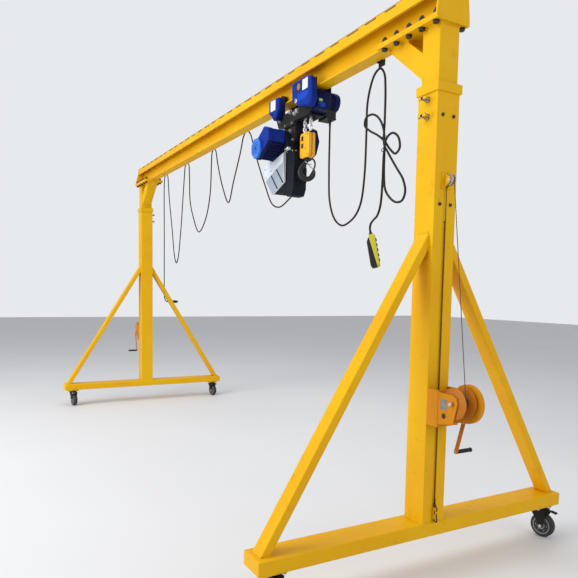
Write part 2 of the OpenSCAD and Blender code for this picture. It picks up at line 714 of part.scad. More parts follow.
base_right();
post_right();
brace_right_front();
brace_right_back();
winch_right();
drum_right();
crank_right();
sheave_right();
rope_right();
rope_fall_right();
base_left();
post_left();
brace_left_front();
brace_left_back();
winch_left();
drum_left();
crank_left();
sheave_left();
rope_left();
rope_fall_left();
fork_right_front();
fork_right_back();
fork_left_front();
fork_left_back();
wheel_right_front();
wheel_right_back();
wheel_left_front();
wheel_left_back();
mast_right();
mast_left();
beam();
beam_cap();
cable_line();
cable_hanger();
trolley_frame();
trolley_covers();
travel_motor();
hoist_body();
hoist_motor();
gear_housing();
end_cover();
chain_container();
load_chain();
hook_block();
hook();
pendant_cable();
pendant();
supply_cable();
supply_plug();
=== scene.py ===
"""Looks of the gantry crane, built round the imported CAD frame. Lengths are in metres, +Z is up."""
import json
import math

import bmesh
import bpy
from mathutils import Matrix, Vector


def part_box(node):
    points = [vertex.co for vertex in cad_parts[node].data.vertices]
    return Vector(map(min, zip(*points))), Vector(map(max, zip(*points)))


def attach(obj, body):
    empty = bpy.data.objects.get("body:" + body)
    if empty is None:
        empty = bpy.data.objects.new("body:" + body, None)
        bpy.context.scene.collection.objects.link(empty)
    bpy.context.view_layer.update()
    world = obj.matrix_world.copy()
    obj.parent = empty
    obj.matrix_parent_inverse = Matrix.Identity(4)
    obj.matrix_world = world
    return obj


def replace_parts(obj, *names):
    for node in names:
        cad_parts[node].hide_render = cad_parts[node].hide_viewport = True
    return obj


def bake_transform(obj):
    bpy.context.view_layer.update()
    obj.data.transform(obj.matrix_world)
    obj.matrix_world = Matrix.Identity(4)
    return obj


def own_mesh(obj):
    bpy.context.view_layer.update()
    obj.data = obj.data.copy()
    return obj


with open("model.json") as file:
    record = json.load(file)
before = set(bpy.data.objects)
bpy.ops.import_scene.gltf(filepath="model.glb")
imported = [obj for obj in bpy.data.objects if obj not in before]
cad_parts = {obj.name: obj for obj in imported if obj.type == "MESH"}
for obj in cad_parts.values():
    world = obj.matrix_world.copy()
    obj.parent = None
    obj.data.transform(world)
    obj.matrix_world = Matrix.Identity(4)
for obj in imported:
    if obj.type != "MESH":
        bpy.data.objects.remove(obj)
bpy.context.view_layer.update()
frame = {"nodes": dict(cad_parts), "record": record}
NODES = frame["nodes"]
SIDES = ("right", "left")
BOTH = (-1, 1)

# Camera: place, turn and lens fitted to the photograph, whose frame is square
CAMERA_PLACE = Vector((5.648, -2.3836, 1.628))
CAMERA_YAW = math.radians(29.977)
CAMERA_PITCH = math.radians(-4.647)
CAMERA_ROLL = math.radians(1.081)
CAMERA_LENS = 36.843
CAMERA_SHIFT = (-0.0186, 0.0894)

# Linear colours of the finishes
YELLOW = (0.79, 0.45, 0.004)
YELLOW_WORN = (0.74, 0.34, 0.004)
DEEP_YELLOW = (0.66, 0.255, 0.004)
DEEP_YELLOW_WORN = (0.6, 0.22, 0.004)
BLACK = (0.012, 0.012, 0.014)
RUBBER = (0.035, 0.035, 0.037)
STEEL = (0.42, 0.42, 0.43)
ZINC = (0.62, 0.62, 0.63)
BLUE = (0.005, 0.031, 0.29)
BRIGHT_BLUE = (0.008, 0.06, 0.5)
# the fan cap's pale blue is a painted highlight of its lit face
CAP_HIGHLIGHT_BLUE = (0.045, 0.2, 0.72)
NAVY = (0.005, 0.01, 0.07)
SLATE = (0.008, 0.011, 0.018)
SILVER = (0.68, 0.73, 0.8)
ORANGE = (0.93, 0.44, 0.02)
LIME = (0.52, 0.5, 0.03)
WHITE = (0.8, 0.82, 0.85)
LABEL_GREEN = (0.45, 0.62, 0.22)
FLOOR_PALE = (0.78, 0.79, 0.81)


def new_material(name):
    """A material with its Principled shader, node tree and a coordinate source in metres."""
    material = bpy.data.materials.new(name)
    material.use_nodes = True
    tree = material.node_tree
    shader = tree.nodes["Principled BSDF"]
    coords = tree.nodes.new("ShaderNodeTexCoord")
    return material, tree, shader, coords.outputs["Object"]


def noise(tree, coords, scale, detail=4.0, roughness=0.5, stretch=(1, 1, 1)):
    """Noise in object coordinates; stretch scales the axes."""
    mapping = tree.nodes.new("ShaderNodeMapping")
    mapping.inputs["Scale"].default_value = stretch
    tree.links.new(coords, mapping.inputs["Vector"])
    texture = tree.nodes.new("ShaderNodeTexNoise")
    texture.inputs["Scale"].default_value = scale
    texture.inputs["Detail"].default_value = detail
    texture.inputs["Roughness"].default_value = roughness
    tree.links.new(mapping.outputs["Vector"], texture.inputs["Vector"])
    return texture.outputs["Fac"]


def ramp(tree, value, low, high, low_value=0.0, high_value=1.0):
    """Maps value from low..high to low_value..high_value, clamped."""
    node = tree.nodes.new("ShaderNodeMapRange")
    node.inputs["From Min"].default_value = low
    node.inputs["From Max"].default_value = high
    node.inputs["To Min"].default_value = low_value
    node.inputs["To Max"].default_value = high_value
    tree.links.new(value, node.inputs["Value"])
    return node.outputs["Result"]


def mix(tree, amount, first, second):
    """Mixes two colours, each a tuple or a socket."""
    node = tree.nodes.new("ShaderNodeMix")
    node.data_type = "RGBA"
    tree.links.new(amount, node.inputs["Factor"])
    for socket, value in (("A", first), ("B", second)):
        target = [s for s in node.inputs if s.name == socket and s.type == "RGBA"][0]
        if isinstance(value, tuple):
            target.default_value = (*value, 1)
        else:
            tree.links.new(value, target)
    return [s for s in node.outputs if s.type == "RGBA"][0]


def bump(tree, shader, height, strength, distance):
    node = tree.nodes.new("ShaderNodeBump")
    node.inputs["Strength"].default_value = strength
    node.inputs["Distance"].default_value = distance
    tree.links.new(height, node.inputs["Height"])
    tree.links.new(node.outputs["Normal"], shader.inputs["Normal"])


def painted(name, colour, worn, gloss=0.38, streak=0.35, grain=0.0006, shine=0.22):
    """Workshop paint: slow colour drift, rubbed patches, fine scratches and orange peel."""
    material, tree, shader, coords = new_material(name)
    drift = ramp(tree, noise(tree, coords, 2.2, 3), 0.35, 0.7, 0.0, 0.6)
    base = mix(tree, drift, colour, worn)
    rubbed = ramp(tree, noise(tree, coords, 16, 8, 0.62), 0.6, 0.74, 0.0, streak)
    dirty = mix(tree, rubbed, base, tuple(0.55 * c for c in worn))
    scratch = ramp(tree, noise(tree, coords, 60, 2, 0.5, (1, 1, 0.08)), 0.7, 0.76, 0.0, 0.22)
    lit = mix(tree, scratch, dirty, tuple(min(1.0, 1.2 * c + 0.01) for c in colour))
    tree.links.new(lit, shader.inputs["Base Color"])
    tree.links.new(ramp(tree, noise(tree, coords, 25, 5), 0.3, 0.75, gloss - 0.08, gloss + 0.2),
                   shader.inputs["Roughness"])
    shader.inputs["Specular IOR Level"].default_value = shine
    bump(tree, shader, noise(tree, coords, 220, 3), 0.12, grain)
    return material


def metal(name, colour, rough=0.35, metallic=0.85):
    """Bare or plated metal with fine scratches and dull spots."""
    material, tree, shader, coords = new_material(name)
    spots = ramp(tree, noise(tree, coords, 45, 6, 0.6), 0.45, 0.7, 0.0, 0.5)
    tree.links.new(mix(tree, spots, colour, tuple(0.5 * c for c in colour)), shader.inputs["Base Color"])
    shader.inputs["Metallic"].default_value = metallic
    tree.links.new(ramp(tree, noise(tree, coords, 120, 4), 0.3, 0.7, rough - 0.1, rough + 0.18),
                   shader.inputs["Roughness"])
    bump(tree, shader, noise(tree, coords, 400, 2), 0.1, 0.0003)
    return material


def rubber(name, colour, rough=0.6, scale=150.0):
    """Rubber or moulded plastic with a fine grain and dusty patches."""
    material, tree, shader, coords = new_material(name)
    dust = ramp(tree, noise(tree, coords, 14, 5), 0.5, 0.75, 0.0, 0.45)
    tree.links.new(mix(tree, dust, colour, tuple(c + 0.02 for c in colour)), shader.inputs["Base Color"])
    shader.inputs["Roughness"].default_value = rough
    shader.inputs["Specular IOR Level"].default_value = 0.28
    bump(tree, shader, noise(tree, coords, scale, 3), 0.25, 0.0006)
    return material


MATERIALS = {
    "yellow": painted("yellow_paint", YELLOW, YELLOW_WORN, shine=0.13),
    # drum and crank arm: the winch's yellow paint drawn darker orange, with rust spots and painted shade
    "rusty_orange": painted("rusty_orange_paint", (0.56, 0.19, 0.012), (0.3, 0.075, 0.01), streak=0.5),
    # dark brown painted as the shade inside the post's slot
    "painted_slot_shade": painted("painted_slot_shade", (0.06, 0.022, 0.008), (0.04, 0.014, 0.006), shine=0.05),
    # dark brown painted as the shade along the channel's edges
    "painted_edge_shade": painted("painted_edge_shade", (0.16, 0.045, 0.008), (0.09, 0.025, 0.006), streak=0.5, shine=0.05),
    "deep_yellow": painted("deep_yellow_paint", DEEP_YELLOW, DEEP_YELLOW_WORN, shine=0.13),
    "black": painted("black_paint", BLACK, (0.035, 0.033, 0.03), gloss=0.42, shine=0.12),
    "tyre": rubber("tyre_rubber", RUBBER),
    "steel": metal("dull_steel", STEEL),
    "zinc": metal("zinc_plate", ZINC, 0.32),
    "chain_zinc": metal("chain_zinc", (0.86, 0.86, 0.88), 0.38, 0.45),
    "worn_steel": metal("worn_steel", (0.3, 0.27, 0.24), 0.5, 0.7),
    "rope_wire": metal("rope_wire", (0.13, 0.085, 0.055), 0.55, 0.4),
    "castor_disc": metal("castor_disc", (0.36, 0.36, 0.37), 0.5, 0.35),
    "dark_bolt": metal("dark_bolt", (0.055, 0.045, 0.035), 0.5, 0.5),
    "blue": painted("blue_paint", BLUE, (0.004, 0.02, 0.19), gloss=0.34, streak=0.25, shine=0.09),
    "bright_blue": painted("bright_blue_panel", BRIGHT_BLUE, (0.006, 0.045, 0.42), gloss=0.36, streak=0.1, shine=0.09),
    "cap_highlight_blue": painted("painted_highlight_blue", CAP_HIGHLIGHT_BLUE, (0.03, 0.14, 0.6), gloss=0.32, streak=0.15, shine=0.12),
    "dark_blue": painted("dark_blue_paint", NAVY, (0.005, 0.01, 0.07), gloss=0.36, streak=0.25, shine=0.1),
    "slate": painted("slate_paint", SLATE, (0.01, 0.014, 0.02), gloss=0.42, streak=0.25, shine=0.1),
    "silver_shade": painted("silver_shade", (0.34, 0.39, 0.45), (0.28, 0.32, 0.38), gloss=0.42, streak=0.25),
    "hook_black": painted("hook_black", (0.02, 0.02, 0.022), (0.06, 0.055, 0.05), gloss=0.28, streak=0.4),
    "grey": painted("silver_casting", SILVER, (0.5, 0.54, 0.62), gloss=0.42, streak=0.25),
    "orange": painted("orange_paint", ORANGE, (0.7, 0.28, 0.02), gloss=0.36, streak=0.3),
    "cable": rubber("cable_sheath", (0.007, 0.007, 0.008), 0.45, 500.0),
    "pendant": rubber("pendant_shell", LIME, 0.5, 300.0),
    "black_plastic": rubber("black_plastic", BLACK, 0.5, 300.0),
    "white": painted("white_panel", WHITE, (0.55, 0.57, 0.6), gloss=0.4, streak=0.2),
    "green_label": painted("green_label", LABEL_GREEN, (0.3, 0.4, 0.15), gloss=0.4, streak=0.1),
}
NODE_SLOT = {part["node"]: part["material_slot"] for part in frame["record"]["subparts"]}
BODY_OF = {node: body for body, nodes in frame["record"]["behaviour"]["bodies"].items() for node in nodes}
for node, obj in NODES.items():
    obj.data.materials.clear()
    obj.data.materials.append(MATERIALS["deep_yellow" if node == "beam_cap" else NODE_SLOT[node]])


# Solids are added to the open draft, until piece() makes one object of it

draft = bmesh.new()


def box(low, high):
    made = bmesh.ops.create_cube(draft, size=1)["verts"]
    low, high = Vector(low), Vector(high)
    for vert in made:
        vert.co = Vector([low[i] + (high[i] - low[i]) * (vert.co[i] + 0.5) for i in range(3)])
    return made


def turns(count, first=0.0):
    """Evenly spaced angles of one whole turn."""
    return [first + 2 * math.pi * k / count for k in range(count)]


def spot_on(x, z, radius, turn):
    """A point on a circle in the XZ plane."""
    return x + radius * math.cos(turn), z + radius * math.sin(turn)


def mirrored(flank, middle=()):
    """A profile whose second half mirrors the first."""
    return flank + list(middle) + [(1 - share, radius) for share, radius in reversed(flank)]


def rectangle(x1, x2, y1, y2, z):
    return [(x1, y1, z), (x2, y1, z), (x2, y2, z), (x1, y2, z)]


def ring_of(middle, radius, across, other, sides):
    """A ring of new corners round the middle, in the plane of across and other."""
    return [draft.verts.new(middle + radius * (math.cos(t) * across + math.sin(t) * other)) for t in turns(sides)]


def skin(rings, closed=False):
    """Faces between the rings, and over both ends unless the last ring joins the first."""
    count = len(rings[0])
    for first, second in list(zip(rings, rings[1:])) + ([(rings[-1], rings[0])] if closed else []):
        for k in range(count):
            draft.faces.new((first[k], first[(k + 1) % count], second[(k + 1) % count], second[k]))
    if not closed:
        draft.faces.new(list(reversed(rings[0])))
        draft.faces.new(rings[-1])


def side_box(x1, x2, y1, y2, z1, z2):
    """A box whose two Y values come in either order."""
    return box((x1, min(y1, y2), z1), (x2, max(y1, y2), z2))


def turned(start, end, profile, sides=32):
    """A solid of revolution: profile lists (share of the way from start to end, radius)."""
    start, end = Vector(start), Vector(end)
    along = (end - start).normalized()
    across = along.orthogonal().normalized()
    other = along.cross(across)
    rings = []
    for share, radius in profile:
        middle = start.lerp(end, share)
        rings.append(ring_of(middle, radius, across, other, sides))
    skin(rings)
    return [vert for ring in rings for vert in ring]


def turned_y(x, z, start, end, profile, sides=32):
    """A solid of revolution about a line along Y."""
    return turned((x, start, z), (x, end, z), profile, sides)


def rod(start, end, radius, sides=24, chamfer=0.0):
    length = (Vector(end) - Vector(start)).length
    share = chamfer / length
    profile = mirrored([(0, radius - chamfer), (share, radius)]) if chamfer else [(0, radius), (1, radius)]
    return turned(start, end, profile, sides)


def moved(verts, place):
    bmesh.ops.transform(draft, matrix=place, verts=verts)
    return verts


def prism(outline, low, high, place=None):
    """An outline of (x, z) points extruded along Y, then moved by the matrix place."""
    rings = [[draft.verts.new((x, y, z)) for x, z in outline] for y in (low, high)]
    skin(rings)
    return moved(rings[0] + rings[1], place) if place else rings[0] + rings[1]


def bolt(place, direction, across=0.024, height=0.012, washer=True, stud=0.0):
    """A six-sided head or nut on its washer, with the stud's end where it shows."""
    place, direction = Vector(place), Vector(direction).normalized()
    if washer:
        rod(place, place + 0.003 * direction, 0.62 * across, 24)
        place = place + 0.003 * direction
    radius = across / 2 / math.cos(math.pi / 6)
    turned(place, place + height * direction, [(0, radius), (0.85, radius), (1, radius * 0.9)], 6)
    if stud > 0:
        rod(place, place + (height + stud) * direction, across * 0.28, 16, 0.001)


def swept(points, radii, sides=12, closed=False):
    """A round bar through points; radii is one number or one for each point."""
    points = [Vector(p) for p in points]
    count = len(points)
    radii = [radii] * count if isinstance(radii, (int, float)) else list(radii)
    side = None
    rings = []
    for i, point in enumerate(points):
        before = points[(i - 1) % count] if closed or i else point
        after = points[(i + 1) % count] if closed or i < count - 1 else point
        along = (after - before).normalized()
        side = along.orthogonal().normalized() if side is None else (side - side.dot(along) * along).normalized()
        other = along.cross(side)
        rings.append(ring_of(point, radii[i], side, other, sides))
    skin(rings, closed)


def piece(name, material, body, bevel=0.0, segments=2, smooth=40.0, place=None):
    """Turns the draft, moved by place, into an object with rounded edges that rides on a body."""
    if place:
        moved(draft.verts, place)
    bmesh.ops.recalc_face_normals(draft, faces=draft.faces)
    mesh = bpy.data.meshes.new(name)
    draft.to_mesh(mesh)
    draft.clear()
    obj = bpy.data.objects.new(name, mesh)
    bpy.context.scene.collection.objects.link(obj)
    mesh.materials.append(MATERIALS[material])
    if bevel > 0:
        edge = obj.modifiers.new("edge", "BEVEL")
        edge.width = bevel
        edge.segments = segments
        edge.limit_method = "ANGLE"
        edge.angle_limit = math.radians(30)
        edge.harden_normals = False
    for face in mesh.polygons:
        face.use_smooth = True
    bpy.context.view_layer.objects.active = obj
    obj.select_set(True)
    bpy.ops.object.shade_smooth_by_angle(angle=math.radians(smooth))
    obj.select_set(False)
    if body:
        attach(obj, body)
    return obj


# The left leg is the right one turned half a turn about Z
TURN = {"right": None, "left": Matrix.Rotation(math.pi, 4, "Z")}


# Cords: the same points as the part's own routes

LINE_Y = 0.3
# the loops under the line as (x, z), between the plug's end and the hoist's end
SUPPLY_LOOPS = [
    (-3.112, 1.6), (-3.112, 2.4), (-3.112, 3.19), (-3.09, 3.28), (-3.018, 3.322), (-2.945, 3.28), (-2.916, 3.19),
    (-2.88, 2.99), (-2.735, 2.5), (-2.615, 2.09), (-2.536, 2.012), (-2.46, 2.09), (-2.35, 2.46), (-2.243, 2.99),
    (-2.2, 3.2), (-2.176, 3.286), (-2.102, 3.322), (-2.03, 3.284), (-2.004, 3.1), (-1.976, 2.81), (-1.862, 2.6),
    (-1.64, 2.376), (-1.4, 2.52), (-1.256, 2.8), (-1.214, 3.2), (-1.196, 3.286), (-1.14, 3.322), (-1.08, 3.282),
    (-1.02, 3.13), (-0.86, 2.83), (-0.68, 2.632), (-0.55, 2.84), (-0.362, 3.14), (-0.29, 3.28), (-0.205, 3.322),
    (-0.118, 3.27), (-0.04, 3.14), (0.08, 2.93), (0.26, 2.665), (0.4, 2.49), (0.56, 2.44)]
SUPPLY_ROUTE = [
    (-3.112, 0.396, 1.456), (-3.112, 0.378, 1.456), (-3.112, 0.356, 1.452), (-3.112, 0.334, 1.458),
    (-3.112, 0.314, 1.484), (-3.112, 0.302, 1.53),
    *((x, LINE_Y, z) for x, z in SUPPLY_LOOPS),
    (0.78, 0.296, 2.5), (1.04, 0.286, 2.592), (1.22, 0.262, 2.655), (1.305, 0.238, 2.702), (1.34, 0.203, 2.728),
    (1.35, 0.168, 2.735), (1.35, 0.1453, 2.735)]
PENDANT_ROUTE = [
    (1.646, 0.16, 2.9497), (1.646, 0.16, 2.82), (1.648, 0.16, 2.57), (1.672, 0.156, 2.35), (1.76, 0.144, 2.206),
    (1.885, 0.132, 2.138), (2.0, 0.122, 2.152), (2.1, 0.112, 2.198), (2.165, 0.105, 2.275), (2.206, 0.1, 2.457),
    (2.229, 0.09, 2.76), (2.238, 0.085, 2.925), (2.275, 0.08, 3.03), (2.335, 0.07, 3.096), (2.405, 0.062, 3.11),
    (2.452, 0.06, 3.062), (2.468, 0.06, 2.953), (2.47, 0.06, 2.763), (2.47, 0.06, 2.61), (2.512, 0.06, 2.55),
    (2.603, 0.058, 2.44), (2.682, 0.055, 2.347), (2.709, 0.052, 2.269), (2.684, 0.05, 2.219), (2.628, 0.048, 2.214),
    (2.565, 0.046, 2.25), (2.515, 0.045, 2.31), (2.5, 0.044, 2.4), (2.495, 0.044, 2.6), (2.478, 0.044, 2.708),
    (2.42, 0.043, 2.79), (2.353, 0.042, 2.824), (2.29, 0.04, 2.816), (2.28, 0.037, 2.77), (2.345, 0.033, 2.718),
    (2.44, 0.029, 2.668), (2.52, 0.026, 2.612), (2.58, 0.025, 2.55), (2.64, 0.022, 2.512), (2.684, 0.018, 2.54),
    (2.672, 0.014, 2.606), (2.618, 0.01, 2.642), (2.562, 0.008, 2.62), (2.54, 0.008, 2.54), (2.53, 0.01, 2.355),
    (2.502, 0.02, 2.205), (2.458, 0.03, 2.145), (2.405, 0.042, 2.125), (2.362, 0.053, 2.106), (2.349, 0.056, 2.091),
    (2.344, 0.0576, 2.074), (2.346, 0.058, 2.06), (2.3498, 0.058, 2.0483)]
SUPPLY_RADIUS = 0.007
PENDANT_RADIUS = 0.0075
PENDANT_PLACE = (Matrix.Translation((2.35, 0.058, 2.0477)) @ Matrix.Rotation(math.radians(-18), 4, "Y")
                 @ Matrix.Rotation(math.radians(45), 4, "Z"))
PENDANT_BACK = [(-0.034, -0.068), (-0.016, -0.036), (0.01, -0.252), (-0.026, -0.252), (-0.034, -0.24)]
PENDANT_FRONT = [(-0.0155, -0.036), (-0.01, -0.022), (0.02, -0.022), (0.027, -0.03), (0.027, -0.244), (0.0105, -0.25)]
HOOP_X, HOOP_Y = 2.4995, 0.036


def through(route, steps=7):
    """A smooth line through the route's points, with tangents weighted by the distances so that it never overshoots."""
    points = [Vector(p) for p in route]
    ends = [2 * points[0] - points[1]] + points + [2 * points[-1] - points[-2]]
    line = []
    for a, b, c, d in zip(ends, ends[1:], ends[2:], ends[3:]):
        before, here, after = (math.sqrt((q - p).length) for p, q in ((a, b), (b, c), (c, d)))
        leave = (b - a) / before - (c - a) / (before + here) + (c - b) / here
        arrive = (c - b) / here - (d - b) / (here + after) + (d - c) / after
        for k in range(steps):
            t = k / steps
            line.append((2 * t ** 3 - 3 * t * t + 1) * b + (t ** 3 - 2 * t * t + t) * here * leave
                        + (3 * t * t - 2 * t ** 3) * c + (t ** 3 - t * t) * here * arrive)
    return line + [points[-1]]


def follow(obj):
    """Bakes the piece's placement into its mesh."""
    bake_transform(obj)


def cord(name, route, radius, node):
    """A free cable as a swept tube through its route."""
    line = through(route)
    swept(line, radius, 10)
    obj = piece(name, "cable", None)
    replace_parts(obj, node)
    follow(obj)


def pendant_control():
    """Push-button box: black back and lime front with a slanted joint, buttons, and a boot round the cable."""
    place = PENDANT_PLACE
    prism(PENDANT_BACK, -0.024, 0.024)
    shell = piece("pendant_body", "black_plastic", "upper_frame", 0.005, 3, place=place)
    prism(PENDANT_FRONT, -0.0235, 0.0235)
    piece("pendant_front", "pendant", "upper_frame", 0.004, 3, place=place)
    for row in range(5):
        height = -0.062 - 0.036 * row
        rod(place @ Vector((0.026, 0, height)), place @ Vector((0.0325, 0, height)), 0.011, 24, 0.002)
    boot = [(0, 0.015), (0.35, 0.015), (0.4, 0.012), (1, 0.0095)]
    turned(place @ Vector((0, 0, -0.023)), place @ Vector((0, 0, -0.0003)), boot, 24)
    piece("pendant_buttons", "black_plastic", "upper_frame")
    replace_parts(shell, "pendant")


def supply_plug():
    """Round plug on the supply cable's end, with a ribbed collar and a cable boot."""
    low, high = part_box("supply_plug")
    middle_x, middle_z = (low.x + high.x) / 2, (low.z + high.z) / 2
    start, end = Vector((middle_x, low.y, middle_z)), Vector((middle_x, high.y, middle_z))
    turned(start, end, [(0, 0.011), (0.18, 0.013), (0.2, 0.0195), (0.78, 0.02), (0.8, 0.0168), (1, 0.0165)], 32)
    for k in range(5):
        at = start.lerp(end, 0.28 + 0.09 * k)
        turned(at, at + Vector((0, 0.005, 0)), [(0, 0.0199), (0.5, 0.0206), (1, 0.0199)], 32)
    obj = piece("plug", "black_plastic", "upper_frame", 0.0)
    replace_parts(obj, "supply_plug")
    return [obj]


def cable_ties():
    """Straps round the pendant cable's spare loops, and where the supply cable hangs on its line."""
    for height in (2.64, 2.565):
        hoop = [(HOOP_X + 0.052 * math.cos(t) * 0.866 - 0.011 * math.sin(t) * 0.5,
                 HOOP_Y - 0.052 * math.cos(t) * 0.5 - 0.014 * math.sin(t) * 0.866, height) for t in turns(28)]
        swept(hoop, 0.0025, 8, True)
    loops = piece("pendant_ties", "black_plastic", "upper_frame")
    for x in (-3.018, -2.102, -1.14, -0.205):
        swept([(x, LINE_Y + 0.0105 * math.cos(t), 3.3285 + 0.0165 * math.sin(t)) for t in turns(24)], 0.002, 8, True)
    line = piece("line_ties", "black_plastic", None)
    follow(line)
    return [loops, line]


def cords():
    pendant_control()
    plug = supply_plug()
    ties = cable_ties()
    cord("pendant_lead", PENDANT_ROUTE, PENDANT_RADIUS, "pendant_cable")
    supply = list(reversed(SUPPLY_ROUTE))
    cord("supply_lead", supply, SUPPLY_RADIUS, "supply_cable")


# Tubes and plates of the frame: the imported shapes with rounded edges

def softened(node, radius, segments=3):
    """The node's own shape with its sharp edges rounded, in its place and on its body."""
    source = NODES[node]
    draft.from_mesh(source.data)
    draft.transform(source.matrix_world)
    bmesh.ops.remove_doubles(draft, verts=draft.verts, dist=0.00002)
    bmesh.ops.dissolve_limit(draft, angle_limit=math.radians(1.5), verts=draft.verts, edges=draft.edges)
    obj = piece(node + "_soft", NODE_SLOT[node], BODY_OF[node], radius, segments, 35)
    bpy.context.view_layer.objects.active = obj
    bpy.ops.object.modifier_apply(modifier="edge")
    low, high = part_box(node)
    for vert in obj.data.vertices:
        vert.co = [min(max(vert.co[i], low[i]), high[i]) for i in range(3)]
    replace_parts(obj, node)
    return obj


def bead(start, end, radius=0.005, seed=0.0):
    """A weld bead between two points: a ripple of overlapping scales."""
    start, end = Vector(start), Vector(end)
    length = (end - start).length
    count = max(6, int(length / 0.007))
    points, radii = [], []
    for k in range(count + 1):
        share = k / count
        points.append(start.lerp(end, share))
        ripple = 0.86 + 0.14 * abs(math.sin(math.pi * share * count / 2 + seed)) + 0.05 * math.sin(9.7 * k + 3 * seed)
        radii.append(radius * (ripple if 0 < k < count else 0.55))
    swept(points, radii, 8)


def beads(corners, radius):
    """Weld beads along a polygon."""
    for number, (start, end) in enumerate(zip(corners, corners[1:] + corners[:1])):
        bead(start, end, radius, 1.3 * number)


# Castors

CASTOR_X, CASTOR_Y = 3.04, 1.03
CASTOR_TRAIL, CASTOR_TURN, WHEEL_R = 0.045, math.radians(12), 0.08
# (depth, radius) from the tyre's side inwards, and from the disc's inner rim outwards
TYRE_WIDTH, DISC_IN, DISC_DEPTH = 0.048, 0.018, 0.0118
TYRE_FLANK = [(0, 0.0585), (0, 0.06), (0.0015, 0.063), (0.0005, 0.0665), (0.002, 0.0725), (0.006, 0.0775),
              (0.011, 0.0795), (0.018, 0.08)]
DISC_FACE = [(0, 0.0575), (0.0072, 0.0575), (0.0078, 0.056), (0.0072, 0.053), (0.0035, 0.05), (0.0025, 0.028),
             (0.0045, 0.025), (0.011, 0.024), (0.0118, 0.0228), (0.0118, 0.009)]
# (x, z) outlines of the fork and the brake, from the swivel's axis
FORK_LEG = [(-0.03, 0.19), (0.071, 0.19), (0.073, 0.176), (0.068, 0.12), (0.064, 0.078), (0.058, 0.068), (0.045, 0.064),
            (0.032, 0.068), (0.026, 0.08), (0.01, 0.118), (-0.02, 0.16), (-0.03, 0.176)]
FORK_TOP = [(-0.034, 0.186), (0.075, 0.186), (0.075, 0.192), (-0.034, 0.192)]
PEDAL = [(0.068, 0.1775), (0.098, 0.185), (0.128, 0.1815), (0.135, 0.1765), (0.137, 0.179), (0.13, 0.185),
         (0.099, 0.1895), (0.066, 0.183)]
CHEEK = [(0.06, 0.186), (0.086, 0.186), (0.082, 0.16), (0.072, 0.152), (0.062, 0.158)]
SHOE = [(0.058, 0.16), (0.076, 0.154), (0.081, 0.164), (0.064, 0.172)]


def castor(side, end):
    """Wheel with its tyre, pressed fork on a ball race, axle, brake, and the nuts that hold the top plate."""
    name = f"{side}_{end}"
    middle = Vector(((1 if side == "right" else -1) * CASTOR_X, (1 if end == "back" else -1) * CASTOR_Y, 0))
    place = Matrix.Translation(middle) @ Matrix.Rotation(CASTOR_TURN, 4, "Z")
    x, z = CASTOR_TRAIL, WHEEL_R

    def finish(label, material, part, bevel=0.0):
        return piece(f"{label}_{name}", material, f"{part}_{name}", bevel, place=place)

    half = TYRE_WIDTH / 2
    turned_y(x, z, -half, half, mirrored([(depth / TYRE_WIDTH, radius) for depth, radius in TYRE_FLANK]), 72)
    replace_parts(finish("tyre", "tyre", "roller"), f"wheel_{name}")
    # disc of the wheel: dished, with a raised rim and hub and a bolt circle
    for s in BOTH:
        face = [(depth / DISC_DEPTH, radius) for depth, radius in DISC_FACE]
        turned_y(x, z, s * DISC_IN, s * (DISC_IN + DISC_DEPTH), face, 64)
        for turn in turns(6):
            screw_x, screw_z = spot_on(x, z, 0.038, turn)
            turned_y(screw_x, screw_z, s * 0.0206, s * 0.0246, [(0, 0.0052), (0.6, 0.0052), (1, 0.003)], 16)
    finish("disc", "castor_disc", "roller")
    for s in BOTH:
        prism(FORK_LEG, *sorted((s * 0.0305, s * 0.0355)))
    prism(FORK_TOP, -0.0355, 0.0355)
    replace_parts(finish("legs", "black", "castor", 0.0022), f"fork_{name}")
    turned((0, 0, 0.1915), (0, 0, 0.2016),
           [(0, 0.04), (0.1, 0.0465), (0.4, 0.048), (0.52, 0.044), (0.62, 0.044), (0.72, 0.049), (1, 0.049)], 48)
    turned((0, 0, 0.178), (0, 0, 0.1865), [(0, 0.017), (0.3, 0.021), (1, 0.021)])
    finish("race", "black", "castor", 0.0006)
    rod((x, -0.041, z), (x, 0.041, z), 0.0078, 24, 0.001)
    for s in BOTH:
        bolt((x, s * 0.0355, z), (0, s, 0), 0.019, 0.0085, False)
    finish("axle", "zinc", "castor", 0.0005)
    # brake: a bent pedal on two cheeks, and the shoe over the tread
    prism(PEDAL, -0.019, 0.019)
    for s in BOTH:
        prism(CHEEK, s * 0.0215 - 0.002, s * 0.0215 + 0.002)
    prism(SHOE, -0.018, 0.018)
    finish("pedal", "black", "castor", 0.0015)
    for x in (-0.054, 0.054):
        for y in (-0.058, 0.058):
            bolt(middle + Vector((x, y, 0.202)), (0, 0, -1), 0.019, 0.007, False)
    piece(f"castor_nuts_{name}", "zinc", f"leg_{side}", 0.0006)


# Legs with their winches

POST_X, POST_OUT = 3.04, 3.12
DRUM_X, DRUM_Z, DRUM_ROPE = 3.32, 1.04, 0.034
CRANK_X, CRANK_Z, CRANK_LONG = 3.262, 0.985, 0.271
SHEAVE_X, SHEAVE_Z, SHEAVE_ROPE = 3.158, 2.268, 0.028
FALL_X, FALL_LOW = SHEAVE_X - SHEAVE_ROPE, 0.3906
ROPE_LEAN, ROPE_LAY = math.radians(7.8), 0.06
BASE_TOP, COLLAR_TOP = 0.3015, 2.7498
CLAMPS = ((2.622, 0.25), (2.716, -0.15))
COVER_DROP = 0.008


